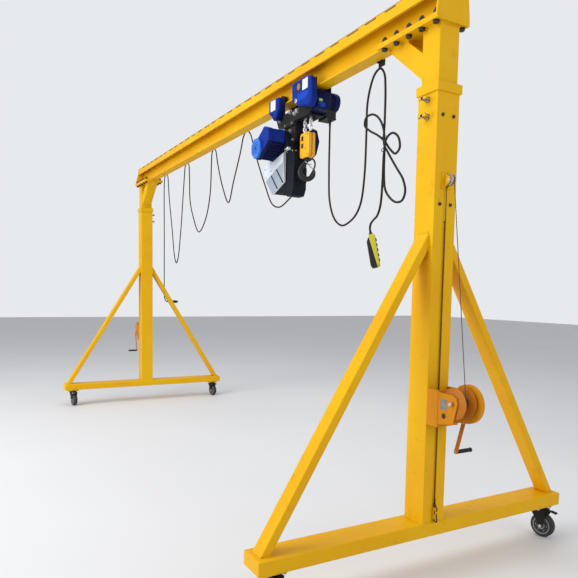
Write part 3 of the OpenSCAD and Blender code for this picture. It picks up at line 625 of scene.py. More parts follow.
def leg(side):
    """Base, post and braces with their welds, screws and pulley, the winch and its rope."""

    def finish(label, material, bevel=0.0, on=f"leg_{side}"):
        return piece(f"{label}_{side}", material, on, bevel, place=TURN[side])

    for node, radius in ((f"base_{side}", 0.007), (f"post_{side}", 0.004), (f"brace_{side}_front", 0.006),
                         (f"brace_{side}_back", 0.006)):
        softened(node, radius)
    # welds: the post and braces on the base, the braces on the post, the collar
    beads(rectangle(2.961, 3.119, -0.081, 0.081, BASE_TOP), 0.0055)
    for s in BOTH:
        for x in (2.989, 3.091):
            bead((x, s * 0.0815, 1.968), (x, s * 0.0815, 1.868), 0.0045, x)
            bead((x, s * 1.096, BASE_TOP), (x, s * 1.05, BASE_TOP), 0.0045, 2 * x)
        bead((2.996, s * 0.0815, 1.979), (3.084, s * 0.0815, 1.979), 0.0045)
        bead((2.996, s * 1.108, BASE_TOP), (3.084, s * 1.108, BASE_TOP), 0.0045)
        bead((2.957, s * 0.0805, COLLAR_TOP), (3.123, s * 0.0805, COLLAR_TOP), 0.0028, 1)
    for x in (2.9595, 3.1205):
        bead((x, -0.0795, COLLAR_TOP), (x, 0.0795, COLLAR_TOP), 0.0028, 2)
    finish("welds", "yellow")
    for s in BOTH:
        beads(rectangle(2.972, 3.108, s * 1.1025, s * 0.9575, 0.2185), 0.0035)
    finish("plate_welds", "yellow")
    # clamping screws: threaded shank, T handle with rounded ends, lock nut
    for z, lean in CLAMPS:
        rod((POST_X, -0.08, z), (POST_X, -0.1215, z), 0.0078, 20, 0.001)
        for k in range(12):
            y = -0.0965 - 0.0021 * k
            turned_y(POST_X, z, y, y - 0.0017, [(0, 0.0078), (0.5, 0.0086), (1, 0.0078)], 16)
        grip, arm = Vector((POST_X, -0.1195, z)), 0.032 * Vector((math.cos(lean), 0, math.sin(lean)))
        rod(grip - arm, grip + arm, 0.0058, 16, 0.002)
        turned_y(POST_X, z, -0.1105, -0.126, [(0, 0.01), (0.2, 0.0115), (0.8, 0.0115), (1, 0.009)], 24)
    finish("clamps", "worn_steel")
    for z, _ in CLAMPS:
        bolt((POST_X, -0.0802, z), (0, -1, 0), 0.03, 0.0145)
    finish("clamp_nuts", "worn_steel", 0.0007)
    # dark strip on the inner tube behind the slot: painted shade of the slot's dark inside
    box((3.108, -0.014, 0.45), (3.1094, 0.014, 2.06))
    finish("slot_shade_strip", "painted_slot_shade", on="upper_frame")
    # screws of the guide pads, in the outward face
    for z in (2.137, 2.624):
        for y in (-0.04, 0.04):
            bolt((POST_OUT, y, z), (1, 0, 0), 0.016, 0.0058)
    finish("pad_screws", "dark_bolt", 0.0005)
    # pulley: grooved rim, and its pin with collars
    pulley = f"sheave_{side}_body"
    groove = mirrored([(0, 0.0315), (0.03, 0.032), (0.18, 0.0318), (0.36, 0.0258)], [(0.5, 0.025)])
    turned_y(SHEAVE_X, SHEAVE_Z, -0.008, 0.008, groove, 56)
    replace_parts(finish("pulley", "worn_steel", on=pulley), f"sheave_{side}")
    for s in BOTH:
        turned_y(SHEAVE_X, SHEAVE_Z, s * 0.008, s * 0.0093, [(0, 0.013), (1, 0.012)])
    rod((SHEAVE_X, -0.02, SHEAVE_Z), (SHEAVE_X, 0.02, SHEAVE_Z), 0.007, 24, 0.0008)
    for s in BOTH:
        turned_y(SHEAVE_X, SHEAVE_Z, s * 0.0155, s * 0.0185, [(0, 0.0105), (0.5, 0.0115), (1, 0.0105)], 24)
    finish("pulley_pin", "zinc", on=pulley)
    winch(side, finish)
    rope_ways(side, finish)


def rope_ways(side, finish):
    """Wire rope: laid strands from the drum over the pulley, and the fall that shortens as the beam rises."""
    cos, sin = math.cos(ROPE_LEAN), math.sin(ROPE_LEAN)
    low = Vector((DRUM_X + DRUM_ROPE * cos - 0.0225 * sin, -0.012, DRUM_Z + DRUM_ROPE * sin + 0.0225 * cos))
    over = []
    for k in range(21):
        x, z = spot_on(SHEAVE_X, SHEAVE_Z, SHEAVE_ROPE, ROPE_LEAN + (math.pi - ROPE_LEAN) * k / 20)
        over.append(Vector((x, 0, z)))
    rising = [low.lerp(over[0], k / 60) for k in range(60)] + over
    falling = [Vector((FALL_X, 0, SHEAVE_Z - 0.0003 - (SHEAVE_Z - FALL_LOW) * k / 70)) for k in range(71)]
    # the fall inside the slot gets the dark bolt colour: painted shade of the slot on the same wire rope
    for label, line, material in (("rope", rising, "rope_wire"), ("rope_fall", falling, "dark_bolt")):
        swept(line, 0.0022, 8)
        places = [0.0]
        for a, b in zip(line, line[1:]):
            places.append(places[-1] + (b - a).length)
        for strand in range(3):
            points = []
            for i, point in enumerate(line):
                after = line[min(i + 1, len(line) - 1)] - line[max(i - 1, 0)]
                side_way = Vector((0, 1, 0))
                other = after.normalized().cross(side_way)
                turn = 2 * math.pi * (places[i] / ROPE_LAY + strand / 3)
                points.append(point + 0.0014 * (math.cos(turn) * side_way + math.sin(turn) * other))
            swept(points, 0.0015, 6)
        obj = finish(f"{label}_strands", material)
        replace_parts(obj, f"{label}_{side}")
    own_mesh(obj)


def winch(side, finish):
    """Hand winch: side plates with bolts, ratchet, rope on its drum, gear cover and crank."""
    softened(f"winch_{side}", 0.0022).data.materials[0] = MATERIALS["deep_yellow"]
    drum, crank = f"drum_{side}_body", f"crank_{side}_body"

    def about(low, high, profile, sides, drop=0.0):
        turned_y(DRUM_X, DRUM_Z - drop, low, high, profile, sides)

    # drum: flanges with rolled rims, hub and axle ends
    for low, high in ((-0.066, -0.061), (0.009, 0.014)):
        rim = mirrored([(0, 0.085), (0.15, 0.0872)], [(0.5, 0.088)])
        about(low, high, [(0, 0.012), (0, 0.08), *rim, (1, 0.012)], 72)
        about((low + high) / 2 - 0.0048, (low + high) / 2 + 0.0048, mirrored([(0, 0.08), (0.2, 0.0835)]), 72)
    about(-0.0615, 0.0095, [(0, 0.031), (1, 0.031)], 48)
    about(-0.092, -0.0655, [(0, 0.009), (0.06, 0.0108), (0.75, 0.011), (0.76, 0.021), (0.97, 0.023), (1, 0.023)], 40)
    about(0.0135, 0.028, [(0, 0.0088), (1, 0.0088)], 24)
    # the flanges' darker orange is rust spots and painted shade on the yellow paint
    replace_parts(finish("drum_flanges", "rusty_orange", on=drum), f"drum_{side}")
    # black discs for the flange's holes: painted shade seen through them
    for turn in turns(3, 1.45):
        x, z = spot_on(DRUM_X, DRUM_Z, 0.07, turn)
        turned_y(x, z, -0.0662, -0.0668, [(0, 0.0085), (1, 0.008)], 24)
    x, z = spot_on(DRUM_X, DRUM_Z, 0.046, 2.2)
    bolt((x, -0.0663, z), (0, -1, 0), 0.013, 0.006, False)
    finish("drum_holes", "black", on=drum)
    # one layer of rope on the drum
    steps = 24
    points = []
    for k in range(11 * steps + 1):
        x, z = spot_on(DRUM_X, DRUM_Z, DRUM_ROPE, 2 * math.pi * k / steps)
        points.append((x, -0.0575 + 0.0063 * k / steps, z))
    swept(points, 0.0031, 8)
    finish("rope_turns", "rope_wire", on=drum)
    tooth = ((0.04, 0), (0.047, 0.04))
    teeth = [spot_on(DRUM_X, DRUM_Z, radius, turn + step) for turn in turns(20) for radius, step in tooth]
    prism(teeth, 0.0145, 0.0195)
    finish("ratchet", "worn_steel", 0.0005, drum)
    # bolts: side plates, cover rim, channel to post
    bolt((POST_OUT + 0.165, 0.053, DRUM_Z + 0.055), (0, 1, 0), 0.017, 0.008)
    for turn in turns(6, 0.3):
        x, z = spot_on(DRUM_X, DRUM_Z - COVER_DROP, 0.094, turn)
        bolt((x, 0.053, z), (0, 1, 0), 0.01, 0.005)
    for z in (DRUM_Z - 0.125, DRUM_Z + 0.035):
        for y in (-0.045, 0.045):
            bolt((POST_OUT + 0.088, y, z), (1, 0, 0), 0.017, 0.008)
    finish("winch_bolts", "worn_steel", 0.0006)
    # dark bush in the side plate, nut of the drum's axle, and a plain tag
    turned_y(POST_OUT + 0.137, DRUM_Z - 0.077, -0.0781, -0.0811, [(0, 0.015), (0.5, 0.015), (1, 0.0125)])
    finish("plate_bush", "dark_bolt")
    bolt((DRUM_X, -0.0915, DRUM_Z), (0, -1, 0), 0.019, 0.0075)
    finish("axle_nut", "zinc", 0.0006, drum)
    box((POST_OUT + 0.107, -0.0785, DRUM_Z - 0.043), (POST_OUT + 0.16, -0.0777, DRUM_Z + 0.016))
    finish("plate_tag", "worn_steel", 0.0003)
    # gear cover: rolled rim and raised boss
    about(0.0265, 0.0535, [(0, 0.107), (0.1, 0.108), (0.9, 0.108), (1, 0.1065)], 80, COVER_DROP)
    about(0.0535, 0.057, [(0, 0.062), (0.3, 0.06), (1, 0.054)], 64, COVER_DROP)
    finish("gear_cover", "deep_yellow")
    # crank: arm with rounded ends, shaft, hub nut, pin and grip
    place = Matrix.Translation((CRANK_X, 0, CRANK_Z)) @ Matrix.Rotation(math.radians(15.6), 4, "Y")
    ends = ((0, 0), (-CRANK_LONG, math.pi))
    prism([spot_on(0, z, 0.0125, first + math.pi * k / 12) for z, first in ends for k in range(13)], 0.09, 0.098, place)
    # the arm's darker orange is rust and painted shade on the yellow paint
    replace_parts(finish("crank_arm", "rusty_orange", 0.0012, crank), f"crank_{side}")
    turned_y(CRANK_X, CRANK_Z, 0.033, 0.1, [(0, 0.0088), (0.8, 0.0088), (0.81, 0.0178), (0.98, 0.0178), (1, 0.0165)],
             36)
    bolt((CRANK_X, 0.098, CRANK_Z), (0, 1, 0), 0.019, 0.004, False)
    end = place @ Vector((0, 0, -CRANK_LONG))
    turned_y(end.x, end.z, 0.0872, 0.2147, [(0, 0.0105), (0.05, 0.0108), (0.06, 0.0062), (0.95, 0.0062), (1, 0.005)],
             24)
    spot = place @ Vector((0, 0, -0.082))
    turned_y(spot.x, spot.z, 0.0898, 0.0883, [(0, 0.008), (1, 0.007)], 20)
    finish("crank_shaft", "zinc", on=crank)
    turned_y(end.x, end.z, 0.1002, 0.214, [(0, 0.0105), (0.03, 0.0125), (0.12, 0.0118), (0.5, 0.0124), (0.86, 0.0118),
                                           (0.93, 0.0134), (0.98, 0.0132), (1, 0.01)], 36)
    finish("grip", "black_plastic", on=crank)


# Beam and its ends

END_FACE, MAST_FACE, MAST_TOP = 3.1225, 2.9685, 3.1185
CHANNEL_LOW, CHANNEL_SIDE = 3.279, 0.079
CABLE_LINE_Z = 3.335


def on_frame(label, material, bevel=0.0, segments=2, place=None):
    return piece(label, material, "upper_frame", bevel, segments, place=place)


def beam_pieces():
    """Beam, channel and masts with their bolts and welds, the rope's lower ends and the supply cable's line."""
    for node, radius in (("beam", 0.0022), ("beam_cap", 0.0035), ("mast_right", 0.0035), ("mast_left", 0.0035),
                         ("cable_line", 0.0008), ("cable_hanger", 0.0012)):
        softened(node, radius, 2)
    for side in SIDES:
        # bolts through the two plates: tall nuts with their studs above, heads below
        for distance in (0.035, 0.15, 0.26, 0.373, 0.485):
            for y in (-0.095, 0.095):
                bolt((3.135 - distance, y, 3.1502), (0, 0, 1), 0.031, 0.024, True, 0.009)
                bolt((3.135 - distance, y, 3.1198), (0, 0, -1), 0.031, 0.0135)
        on_frame(f"plate_bolts_{side}", "dark_bolt", 0.0008, place=TURN[side])
        # welds: end plate round the section, plate on the mast, knee strut
        for s in BOTH:
            for y, low, high, radius in ((0.054, 3.16, 3.182, 0.003), (0.005, 3.163, 3.338, 0.0035),
                                         (0.082, CHANNEL_LOW, 3.357, 0.0035)):
                bead((END_FACE, s * y, low), (END_FACE, s * y, high), radius)
        bead((END_FACE, -0.078, 3.3605), (END_FACE, 0.078, 3.3605), 0.0035)
        beads(rectangle(MAST_FACE, 3.1115, -0.0715, 0.0715, MAST_TOP), 0.005)
        for s in BOTH:
            bead((MAST_FACE, s * 0.0605, 2.8445), (MAST_FACE, s * 0.0605, 2.987), 0.0045)
            bead((2.634, s * 0.0605, MAST_TOP), (2.83, s * 0.0605, MAST_TOP), 0.0045)
        bead((MAST_FACE, -0.058, 2.8425), (MAST_FACE, 0.058, 2.8425), 0.0045)
        on_frame(f"beam_welds_{side}", "yellow", place=TURN[side])
        # end of the rope: thimble, ferrule, three links of chain and a hook down to the lug
        swept([(FALL_X + 0.0085 * math.sin(t), 0, 0.4045 + 0.014 * math.cos(t)) for t in turns(20)], 0.0028, 8, True)
        turned((FALL_X, 0, 0.417), (FALL_X, 0, 0.446), [(0, 0.004), (0.1, 0.0052), (0.9, 0.0052), (1, 0.0036)], 16)
        chain_x = FALL_X + 0.012
        for k, z in enumerate((0.384, 0.364, 0.344)):
            link((chain_x, 0, z), (0, 1, 0) if k % 2 else (1, 0, 0), 0.013, 0.0085, 0.0027)
        bow = [(chain_x + 0.012 * math.sin(a), 0, 0.319 - 0.012 * math.cos(a))
               for a in map(math.radians, range(-110, 171, 14))]
        swept([(chain_x, 0, 0.339), (chain_x - 0.002, 0, 0.333)] + bow[::-1], 0.0042, 10)
        on_frame(f"rope_end_{side}", "dark_bolt", place=TURN[side])
    # stitch welds that hold the channel on the beam's flange, and dark dashes along its upper edge
    for s in BOTH:
        for k in range(30):
            x = -2.97 + 0.2045 * k
            bead((x, s * 0.0535, 3.348), (x + 0.055, s * 0.0535, 3.348), 0.0026, 0.7 * k)
    on_frame("channel_welds", "yellow")
    for s in BOTH:
        for k in range(29):
            x = -2.9 + 0.2045 * k
            side_box(x, x + 0.118 + 0.016 * math.sin(2.3 * k), s * CHANNEL_SIDE, s * 0.0806, 3.343, 3.351)
    on_frame("channel_dashes", "dark_bolt", 0.0004, 1)
    # painted shade: dark strips along the shadow line under the channel's sheared lower edges and along its rounded
    # upper bends, which show dark
    for s in BOTH:
        for low, high in ((3.2792, 3.2832), (3.3548, 3.358)):
            side_box(-3.118, 3.118, s * CHANNEL_SIDE, s * 0.0805, low, high)
    on_frame("channel_edge_shade", "painted_edge_shade", 0.0004, 1)
    # line for the supply cable: nuts on its arms
    for x in (-3.095, -1.65, 0.03):
        bolt((x, 0.0805, CABLE_LINE_Z), (0, 1, 0), 0.013, 0.006)
        for step in (-0.019, 0.0135):
            turned((x + step, 0.3, CABLE_LINE_Z), (x + step + 0.0055, 0.3, CABLE_LINE_Z),
                   [(0, 0.0095), (0.5, 0.0105), (1, 0.0095)], 6)
    on_frame("line_nuts", "zinc", 0.0005)
    for x in (2.405, 2.435):
        bolt((x, 0.066, 3.152), (0, 1, 0), 0.013, 0.006)
    on_frame("hanger_screws", "zinc", 0.0005)


def link(middle, across, half_long, half_wide, radius):
    """One oval chain link that stands upright and is as wide as it goes across."""
    middle, across = Vector(middle), Vector(across).normalized()
    straight = half_long - half_wide
    points = []
    for turn in turns(24):
        shift = straight if math.cos(turn) > 0 else -straight
        height = Vector((0, 0, 1)) * (shift + half_wide * math.cos(turn))
        points.append(middle + height + across * half_wide * math.sin(turn))
    swept(points, radius, 8, True)


# Trolley and hoist

HOIST = Vector((1.4, 0, 2.755))
HOIST_PLACE = Matrix.Translation(HOIST) @ Matrix.Rotation(math.radians(-21), 4, "Y")
# the lower half of the gear side leans back from its crease
CREASE = Matrix.Translation((0, -0.111, -0.072))
LEANED_PLACE = HOIST_PLACE @ CREASE @ Matrix.Rotation(math.radians(5.4), 4, "X") @ CREASE.inverted()
MOTOR_X, MOTOR_Z, MOTOR_HALF = 1.279, 2.814, 0.14
MOTOR_SHAPE = [(0.43, 0.86), (1, 0.67), (1, -0.04), (-0.43, -0.86), (-1, -0.67), (-1, 0.04)]
BLOCK_X, BLOCK_Z = 1.58, 2.77
# outlines of the two covers in millimetres
COVERS = ([(1151, 3084), (1182, 3069), (1225, 3020), (1273, 3020), (1320, 3098), (1324, 3178), (1302, 3193),
           (1151, 3193)],
          [(1538, 3090), (1630, 3038), (1800, 2994), (1836, 3040), (1822, 3170), (1798, 3212), (1772, 3226),
           (1536, 3226)])
WINDOW = (1.59, 1.6975, 3.133, 3.208)


def on_trolley(label, material, bevel=0.0, segments=2):
    return piece(label, material, "trolley", bevel, segments)


def slab(outline, low, high):
    """An outline of (x, z) points in millimetres, as a prism along Y."""
    return prism([(x / 1000, z / 1000) for x, z in outline], low, high)


def inset_outline(outline, amount):
    """The outline drawn towards its middle by about amount, in the outline's own units."""
    cx = sum(x for x, z in outline) / len(outline)
    cz = sum(z for x, z in outline) / len(outline)
    drawn = []
    for x, z in outline:
        share = 1 - amount / math.hypot(x - cx, z - cz)
        drawn.append((cx + (x - cx) * share, cz + (z - cz) * share))
    return drawn


def trolley_covers():
    """Two moulded drive covers: rounded shells with a seam, a raised face, panels, a window and their nuts."""
    for inset, low, high, label, material, bevel, segments in (
            (None, -0.1245, -0.0685, "cover_shells", "blue", 0.013, 4), (12, -0.129, -0.12, "cover_faces", "blue",
                                                                         0.004, 3),
            (-0.6, -0.085, -0.0835, "cover_seams", "black_plastic", 0, 2)):
        for outline in COVERS:
            slab(inset_outline(outline, inset) if inset else outline, low, high)
        made = on_trolley(label, material, bevel, segments)
        if not inset:
            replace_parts(made, "trolley_covers")
    box((1.19, -0.13, 3.096), (1.274, -0.127, 3.178))
    box((1.7065, -0.13, 3.1285), (1.784, -0.127, 3.205))
    on_trolley("bare_panels", "white", 0.0012)
    # window frame, its dark inside and the gear behind it
    left, right, low, high = WINDOW
    rim = 0.006
    for x1, x2, z1, z2 in ((left, right, low, low + rim), (left, right, high - rim, high),
                           (left, left + rim, low, high),
                           (right - rim, right, low, high)):
        box((x1, -0.13, z1), (x2, -0.1275, z2))
    on_trolley("window_frame", "blue", 0.0009)
    # dark sheet inside the window frame: painted shade of the cover's inside
    box((left + 0.004, -0.1293, low + 0.004), (right - 0.004, -0.128, high - 0.004))
    on_trolley("window_dark", "black_plastic", 0.0004, 1)
    prism([spot_on(1.65, 3.17, radius, turn + step) for turn in turns(18)
           for step, radius in ((0, 0.0215), (0.1, 0.025), (0.22, 0.025))], -0.1299, -0.1289)
    turned_y(1.65, 3.17, -0.1296, -0.13, [(0, 0.009), (1, 0.008)], 24)
    on_trolley("window_gear", "worn_steel")
    slab([(1640, 3068), (1748, 3060), (1790, 3082), (1790, 3112), (1640, 3118)], -0.13, -0.128)
    on_trolley("lighter_patch", "bright_blue", 0.001)
    for x, z, across, height in ((1.218, 3.066, 0.024, 0.005), (1.608, 3.077, 0.034, 0.006)):
        bolt((x, -0.124, z), (0, -1, 0), across, height, False)
    on_trolley("cover_nuts", "zinc", 0.0005)
    for x, z in ((1.168, 3.18), (1.304, 3.17), (1.17, 3.098), (1.556, 3.212), (1.806, 3.16), (1.812, 3.052),
                 (1.556, 3.098)):
        rod((x, -0.124, z), (x, -0.13, z), 0.0052, 16, 0.001)
    on_trolley("cover_screws", "blue")


def trolley_frame():
    """Side plates with axle caps and nuts, the drive gearbox, the chain's anchor and the yoke."""
    softened("trolley_frame", 0.0018, 2)
    for x in (1.235, 1.665):
        turned_y(x, 3.183, 0.0675, 0.0745, [(0, 0.024), (0.5, 0.024), (1, 0.021)], 36)
        bolt((x, 0.074, 3.183), (0, 1, 0), 0.024, 0.01)
        for s in BOTH:
            turned_y(x, 3.1945, s * 0.012, s * 0.0165, [(0, 0.033), (0.4, 0.0345), (1, 0.0345)], 40)
    for x in (1.245, 1.49):
        for s in BOTH:
            bolt((x, s * 0.068, 3.022), (0, s, 0), 0.026, 0.011, True, 0.006)
    for x, z in ((1.419, 3.052), (1.531, 3.034)):
        bolt((x, -0.068, z), (0, -1, 0), 0.03, 0.014, True, 0.004)
    on_trolley("frame_nuts", "zinc", 0.0006)
    # drive gearbox across the far end of the frame
    slab([(1700, 2988), (1796, 2990), (1812, 3006), (1812, 3096), (1796, 3126), (1700, 3126)], -0.057, 0.057)
    on_trolley("gearbox", "dark_blue", 0.007, 3)
    for y in (-0.04, 0.04):
        for z in (3.012, 3.084):
            bolt((1.8118, y, z), (1, 0, 0), 0.012, 0.0045, False)
    on_trolley("gearbox_bolts", "dark_blue", 0.0004)
    box((1.811, -0.044, 3.041), (1.8128, -0.015, 3.06))
    on_trolley("green_plate", "green_label", 0.0004, 1)
    box((1.811, -0.048, 3.004), (1.8126, 0.01, 3.034))
    on_trolley("gearbox_patch", "bright_blue", 0.0004, 1)
    # anchor of the chain and its guide at the frame's floor
    box((1.602, -0.02, 2.992), (1.652, 0.02, 3.029))
    box((1.516, -0.016, 2.996), (1.554, 0.016, 3.021))
    on_trolley("chain_anchor", "zinc", 0.0035, 3)
    # yoke that carries the hoist under the frame, with its pin and bolts
    for low, high in ((-0.066, -0.051), (0.04, 0.0445)):
        slab([(1318, 2969), (1496, 2969), (1498, 2846), (1470, 2800), (1408, 2790), (1352, 2822), (1318, 2880)], low,
             high)
    box((1.33, -0.078, 2.938), (1.496, -0.0505, 2.969))
    on_trolley("yoke", "black", 0.003)
    rod((1.42, -0.074, 2.9), (1.42, 0.053, 2.9), 0.013, 28, 0.002)
    for x, y, z, across, height in ((1.42, -0.066, 2.9, 0.036, 0.01), (1.36, -0.078, 2.954, 0.017, 0.008),
                                    (1.47, -0.078, 2.954, 0.017, 0.008), (1.464, -0.066, 2.83, 0.019, 0.008),
                                    (1.378, -0.066, 2.83, 0.019, 0.008)):
        bolt((x, y, z), (0, -1, 0), across, height)
    on_trolley("yoke_bolts", "worn_steel", 0.0006)


def travel_motor():
    """Travel motor: finned barrel, end bell and fan cover, with its terminal box and gland."""
    x, z = 1.66, 3.097
    turned_y(x, z, 0.0685, 0.205, [(0, 0.06), (0.02, 0.07), (0.08, 0.072), (0.12, 0.072), (0.14, 0.064), (0.62, 0.064),
                                   (0.64, 0.072), (0.9, 0.072), (0.97, 0.068), (1, 0.058)], 56)
    for turn in turns(26):
        if math.sin(turn) >= -0.8:
            fin = box((-0.0016, 0.084, 0.06), (0.0016, 0.157, 0.0712))
            moved(fin, Matrix.Translation((x, 0, z)) @ Matrix.Rotation(math.pi / 2 - turn, 4, "Y"))
    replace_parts(on_trolley("travel_body", "dark_blue", 0.0008), "travel_motor")
    # black discs for the fan cover's holes: painted shade seen through them
    for ring in range(3):
        for turn in turns(6 + 6 * ring):
            hole_x, hole_z = spot_on(x, z, 0.016 + 0.014 * ring, turn)
            turned_y(hole_x, hole_z, 0.2046, 0.205, [(0, 0.004), (1, 0.0036)], 10)
    on_trolley("fan_holes", "black_plastic")
    box((1.578, 0.094, 2.972), (1.689, 0.188, 3.04))
    box((1.575, 0.092, 2.965), (1.692, 0.19, 2.977))
    box((1.6, 0.105, 3.035), (1.668, 0.178, 3.052))
    on_trolley("terminal_box", "black_plastic", 0.004, 3)
    for top, low, profile in ((2.966, 2.9497, [(0, 0.0122), (0.42, 0.0122), (0.45, 0.0105), (0.8, 0.01), (1, 0.0082)]),
                              (2.956, 2.925, [(0, 0.01), (0.5, 0.0092), (1, 0.0079)])):
        turned((1.646, 0.16, top), (1.646, 0.16, low), profile, 24)
    on_trolley("pendant_gland", "black_plastic")
    for px in (1.583, 1.684):
        for py in (0.1, 0.182):
            rod((px, py, 2.9655), (px, py, 2.9632), 0.0035, 14, 0.0006)
    on_trolley("terminal_screws", "zinc")


def hoist_motor():
    """Motor: a long six-sided shell with a rim at its end, a ribbed cap, screws and cooling ribs."""

    def outline(scale):
        return [(MOTOR_X + MOTOR_HALF * scale * x, MOTOR_Z + MOTOR_HALF * scale * z) for x, z in MOTOR_SHAPE]

    prism(outline(0.955), -0.24, -0.112)
    prism(outline(0.995), -0.13, -0.112)
    prism(outline(0.995), -0.26, -0.22)
    shell = on_trolley("motor_shell", "blue", 0.0075, 3)
    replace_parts(shell, "hoist_motor")
    # painted shade: the faces that look down are drawn in the darker blue
    shell.data.materials.append(MATERIALS["dark_blue"])
    for face in shell.data.polygons:
        if face.normal.z < -0.3:
            face.material_index = 1
    for k in range(7):
        share = -0.78 + 0.26 * k
        for s in BOTH:
            rib = box((-0.003, -0.223, -0.004), (0.003, -0.128, 0.0028))
            x = MOTOR_X + MOTOR_HALF * (share * 0.72 + 0.28 * -s)
            z = MOTOR_Z + MOTOR_HALF * (share * 0.415 + 0.475 * s)
            moved(rib, Matrix.Translation((x, 0, z)) @ Matrix.Rotation(math.radians(-30), 4, "Y"))
    on_trolley("motor_ribs", "dark_blue", 0.0012)
    # cap of eight sides with slots and a hub, low on the end
    cx, cz = MOTOR_X - 0.36 * MOTOR_HALF, MOTOR_Z - 0.24 * MOTOR_HALF
    # the cap's pale blue is a painted highlight of its lit face
    prism([spot_on(cx, cz, 0.59 * MOTOR_HALF, turn) for turn in turns(8, math.pi / 8)], -0.2835, -0.259)
    on_trolley("motor_cap", "cap_highlight_blue", 0.007, 3)
    # dark blue strips for the cap's slots: painted shade seen through them
    for k in range(6):
        z = cz - 0.04 + 0.016 * k
        half = math.sqrt(max(0.0, 0.06 ** 2 - (z - cz) ** 2))
        box((cx - half, -0.2842, z - 0.0022), (cx + half, -0.282, z + 0.0022))
    on_trolley("cap_slots", "dark_blue", 0.0005, 1)
    turned_y(cx, cz, -0.2825, -0.285, [(0, 0.017), (0.6, 0.0165), (1, 0.014)])
    on_trolley("cap_hub", "bright_blue")
    for x, z in outline(0.86):
        if math.hypot(x - cx, z - cz) > 0.1:
            rod((x, -0.259, z), (x, -0.263, z), 0.006, 18, 0.001)
    on_trolley("motor_screws", "dark_blue")


def hoist_housing():
    """Silver gear side in two bands, dark body, chain container and far end cover."""
    for node, radius, segments in (("gear_housing", 0.0035, 2), ("hoist_body", 0.005, 3), ("chain_container", 0.01, 4),
                                   ("end_cover", 0.01, 4)):
        softened(node, radius, segments)
    # rim along the band's crease
    prism([(-0.369, -0.0735), (-0.06, -0.0735), (-0.06, -0.067), (-0.369, -0.067)], -0.1125, -0.106, HOIST_PLACE)
    on_trolley("band_rim", "grey", 0.0015)
    # lower band: shaded panels beside the two slanted grooves, on the leaning face
    for corners in ([(-0.367, -0.074), (-0.321, -0.216), (-0.2304, -0.216), (-0.2723, -0.074)],
                    [(-0.2563, -0.074), (-0.2144, -0.216), (-0.1304, -0.216), (-0.1723, -0.074)],
                    [(-0.1563, -0.074), (-0.1144, -0.216), (-0.104, -0.216), (-0.048, -0.074)]):
        prism(corners, -0.1118, -0.11, LEANED_PLACE)
    on_trolley("band_panels", "silver_shade", 0.0006, 1)
    for u in (-0.2643, -0.1643):
        prism([(u - 0.0085, -0.073), (u + 0.0334, -0.217), (u + 0.0504, -0.217), (u + 0.0085, -0.073)], -0.1112,
              -0.1096,
              LEANED_PLACE)
    on_trolley("band_grooves", "slate")
    for u, w in ((-0.35, 0.03), (-0.345, -0.052), (-0.25, -0.04), (-0.235, 0.018)):
        moved(rod((u, -0.1105, w), (u, -0.115, w), 0.0062, 6, 0.001), HOIST_PLACE)
    on_trolley("band_screws", "zinc")
    # far cover: round raised boss and screws
    boss = HOIST_PLACE @ Vector((0.02, 0, 0.076))
    turned_y(boss.x, boss.z, 0.144, 0.1505, [(0, 0.082), (0.3, 0.08), (1, 0.07)], 56)
    on_trolley("cover_boss", "dark_blue", 0.0015)
    for turn in turns(8, 0.3):
        x, z = spot_on(boss.x, boss.z, 0.1, turn)
        rod((x, 0.1445, z), (x, 0.1485, z), 0.0055, 16, 0.001)
    on_trolley("far_cover_screws", "zinc")
    # container: hem at its mouth, pressed ribs, screws
    box((1.384, -0.0805, 2.73), (1.503, 0.0465, 2.748))
    on_trolley("container_hem", "slate", 0.003, 3)
    for z in (2.5, 2.6):
        box((1.402, -0.0795, z), (1.484, -0.077, z + 0.06))
        box((1.499, -0.062, z), (1.502, 0.028, z + 0.06))
    on_trolley("container_ribs", "slate", 0.002, 3)
    for start, end in (((1.5015, -0.06), (1.5055, -0.06)), ((1.5015, 0.026), (1.5055, 0.026)),
                       ((1.402, -0.079), (1.402, -0.083)), ((1.485, -0.079), (1.485, -0.083))):
        rod((*start, 2.739), (*end, 2.739), 0.005, 16, 0.0008)
    on_trolley("container_screws", "zinc")
    # strain relief of the supply cable
    turned_y(1.35, 2.735, 0.144, 0.17, [(0, 0.015), (0.35, 0.015), (0.4, 0.0115), (1, 0.0074)], 28)
    on_trolley("supply_gland", "black_plastic")


def load_chain():
    """Two falls of welded links, turned alternately."""
    turn = Matrix.Rotation(math.radians(35), 3, "Z")
    for x in (BLOCK_X - 0.045, BLOCK_X + 0.045):
        for k in range(6):
            link((x, 0, 2.874 + 0.0242 * k), turn @ Vector((1, 0, 0) if k % 2 else (0, 1, 0)), 0.0168, 0.0104, 0.005)
    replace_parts(on_trolley("chain_links", "chain_zinc"), "load_chain")


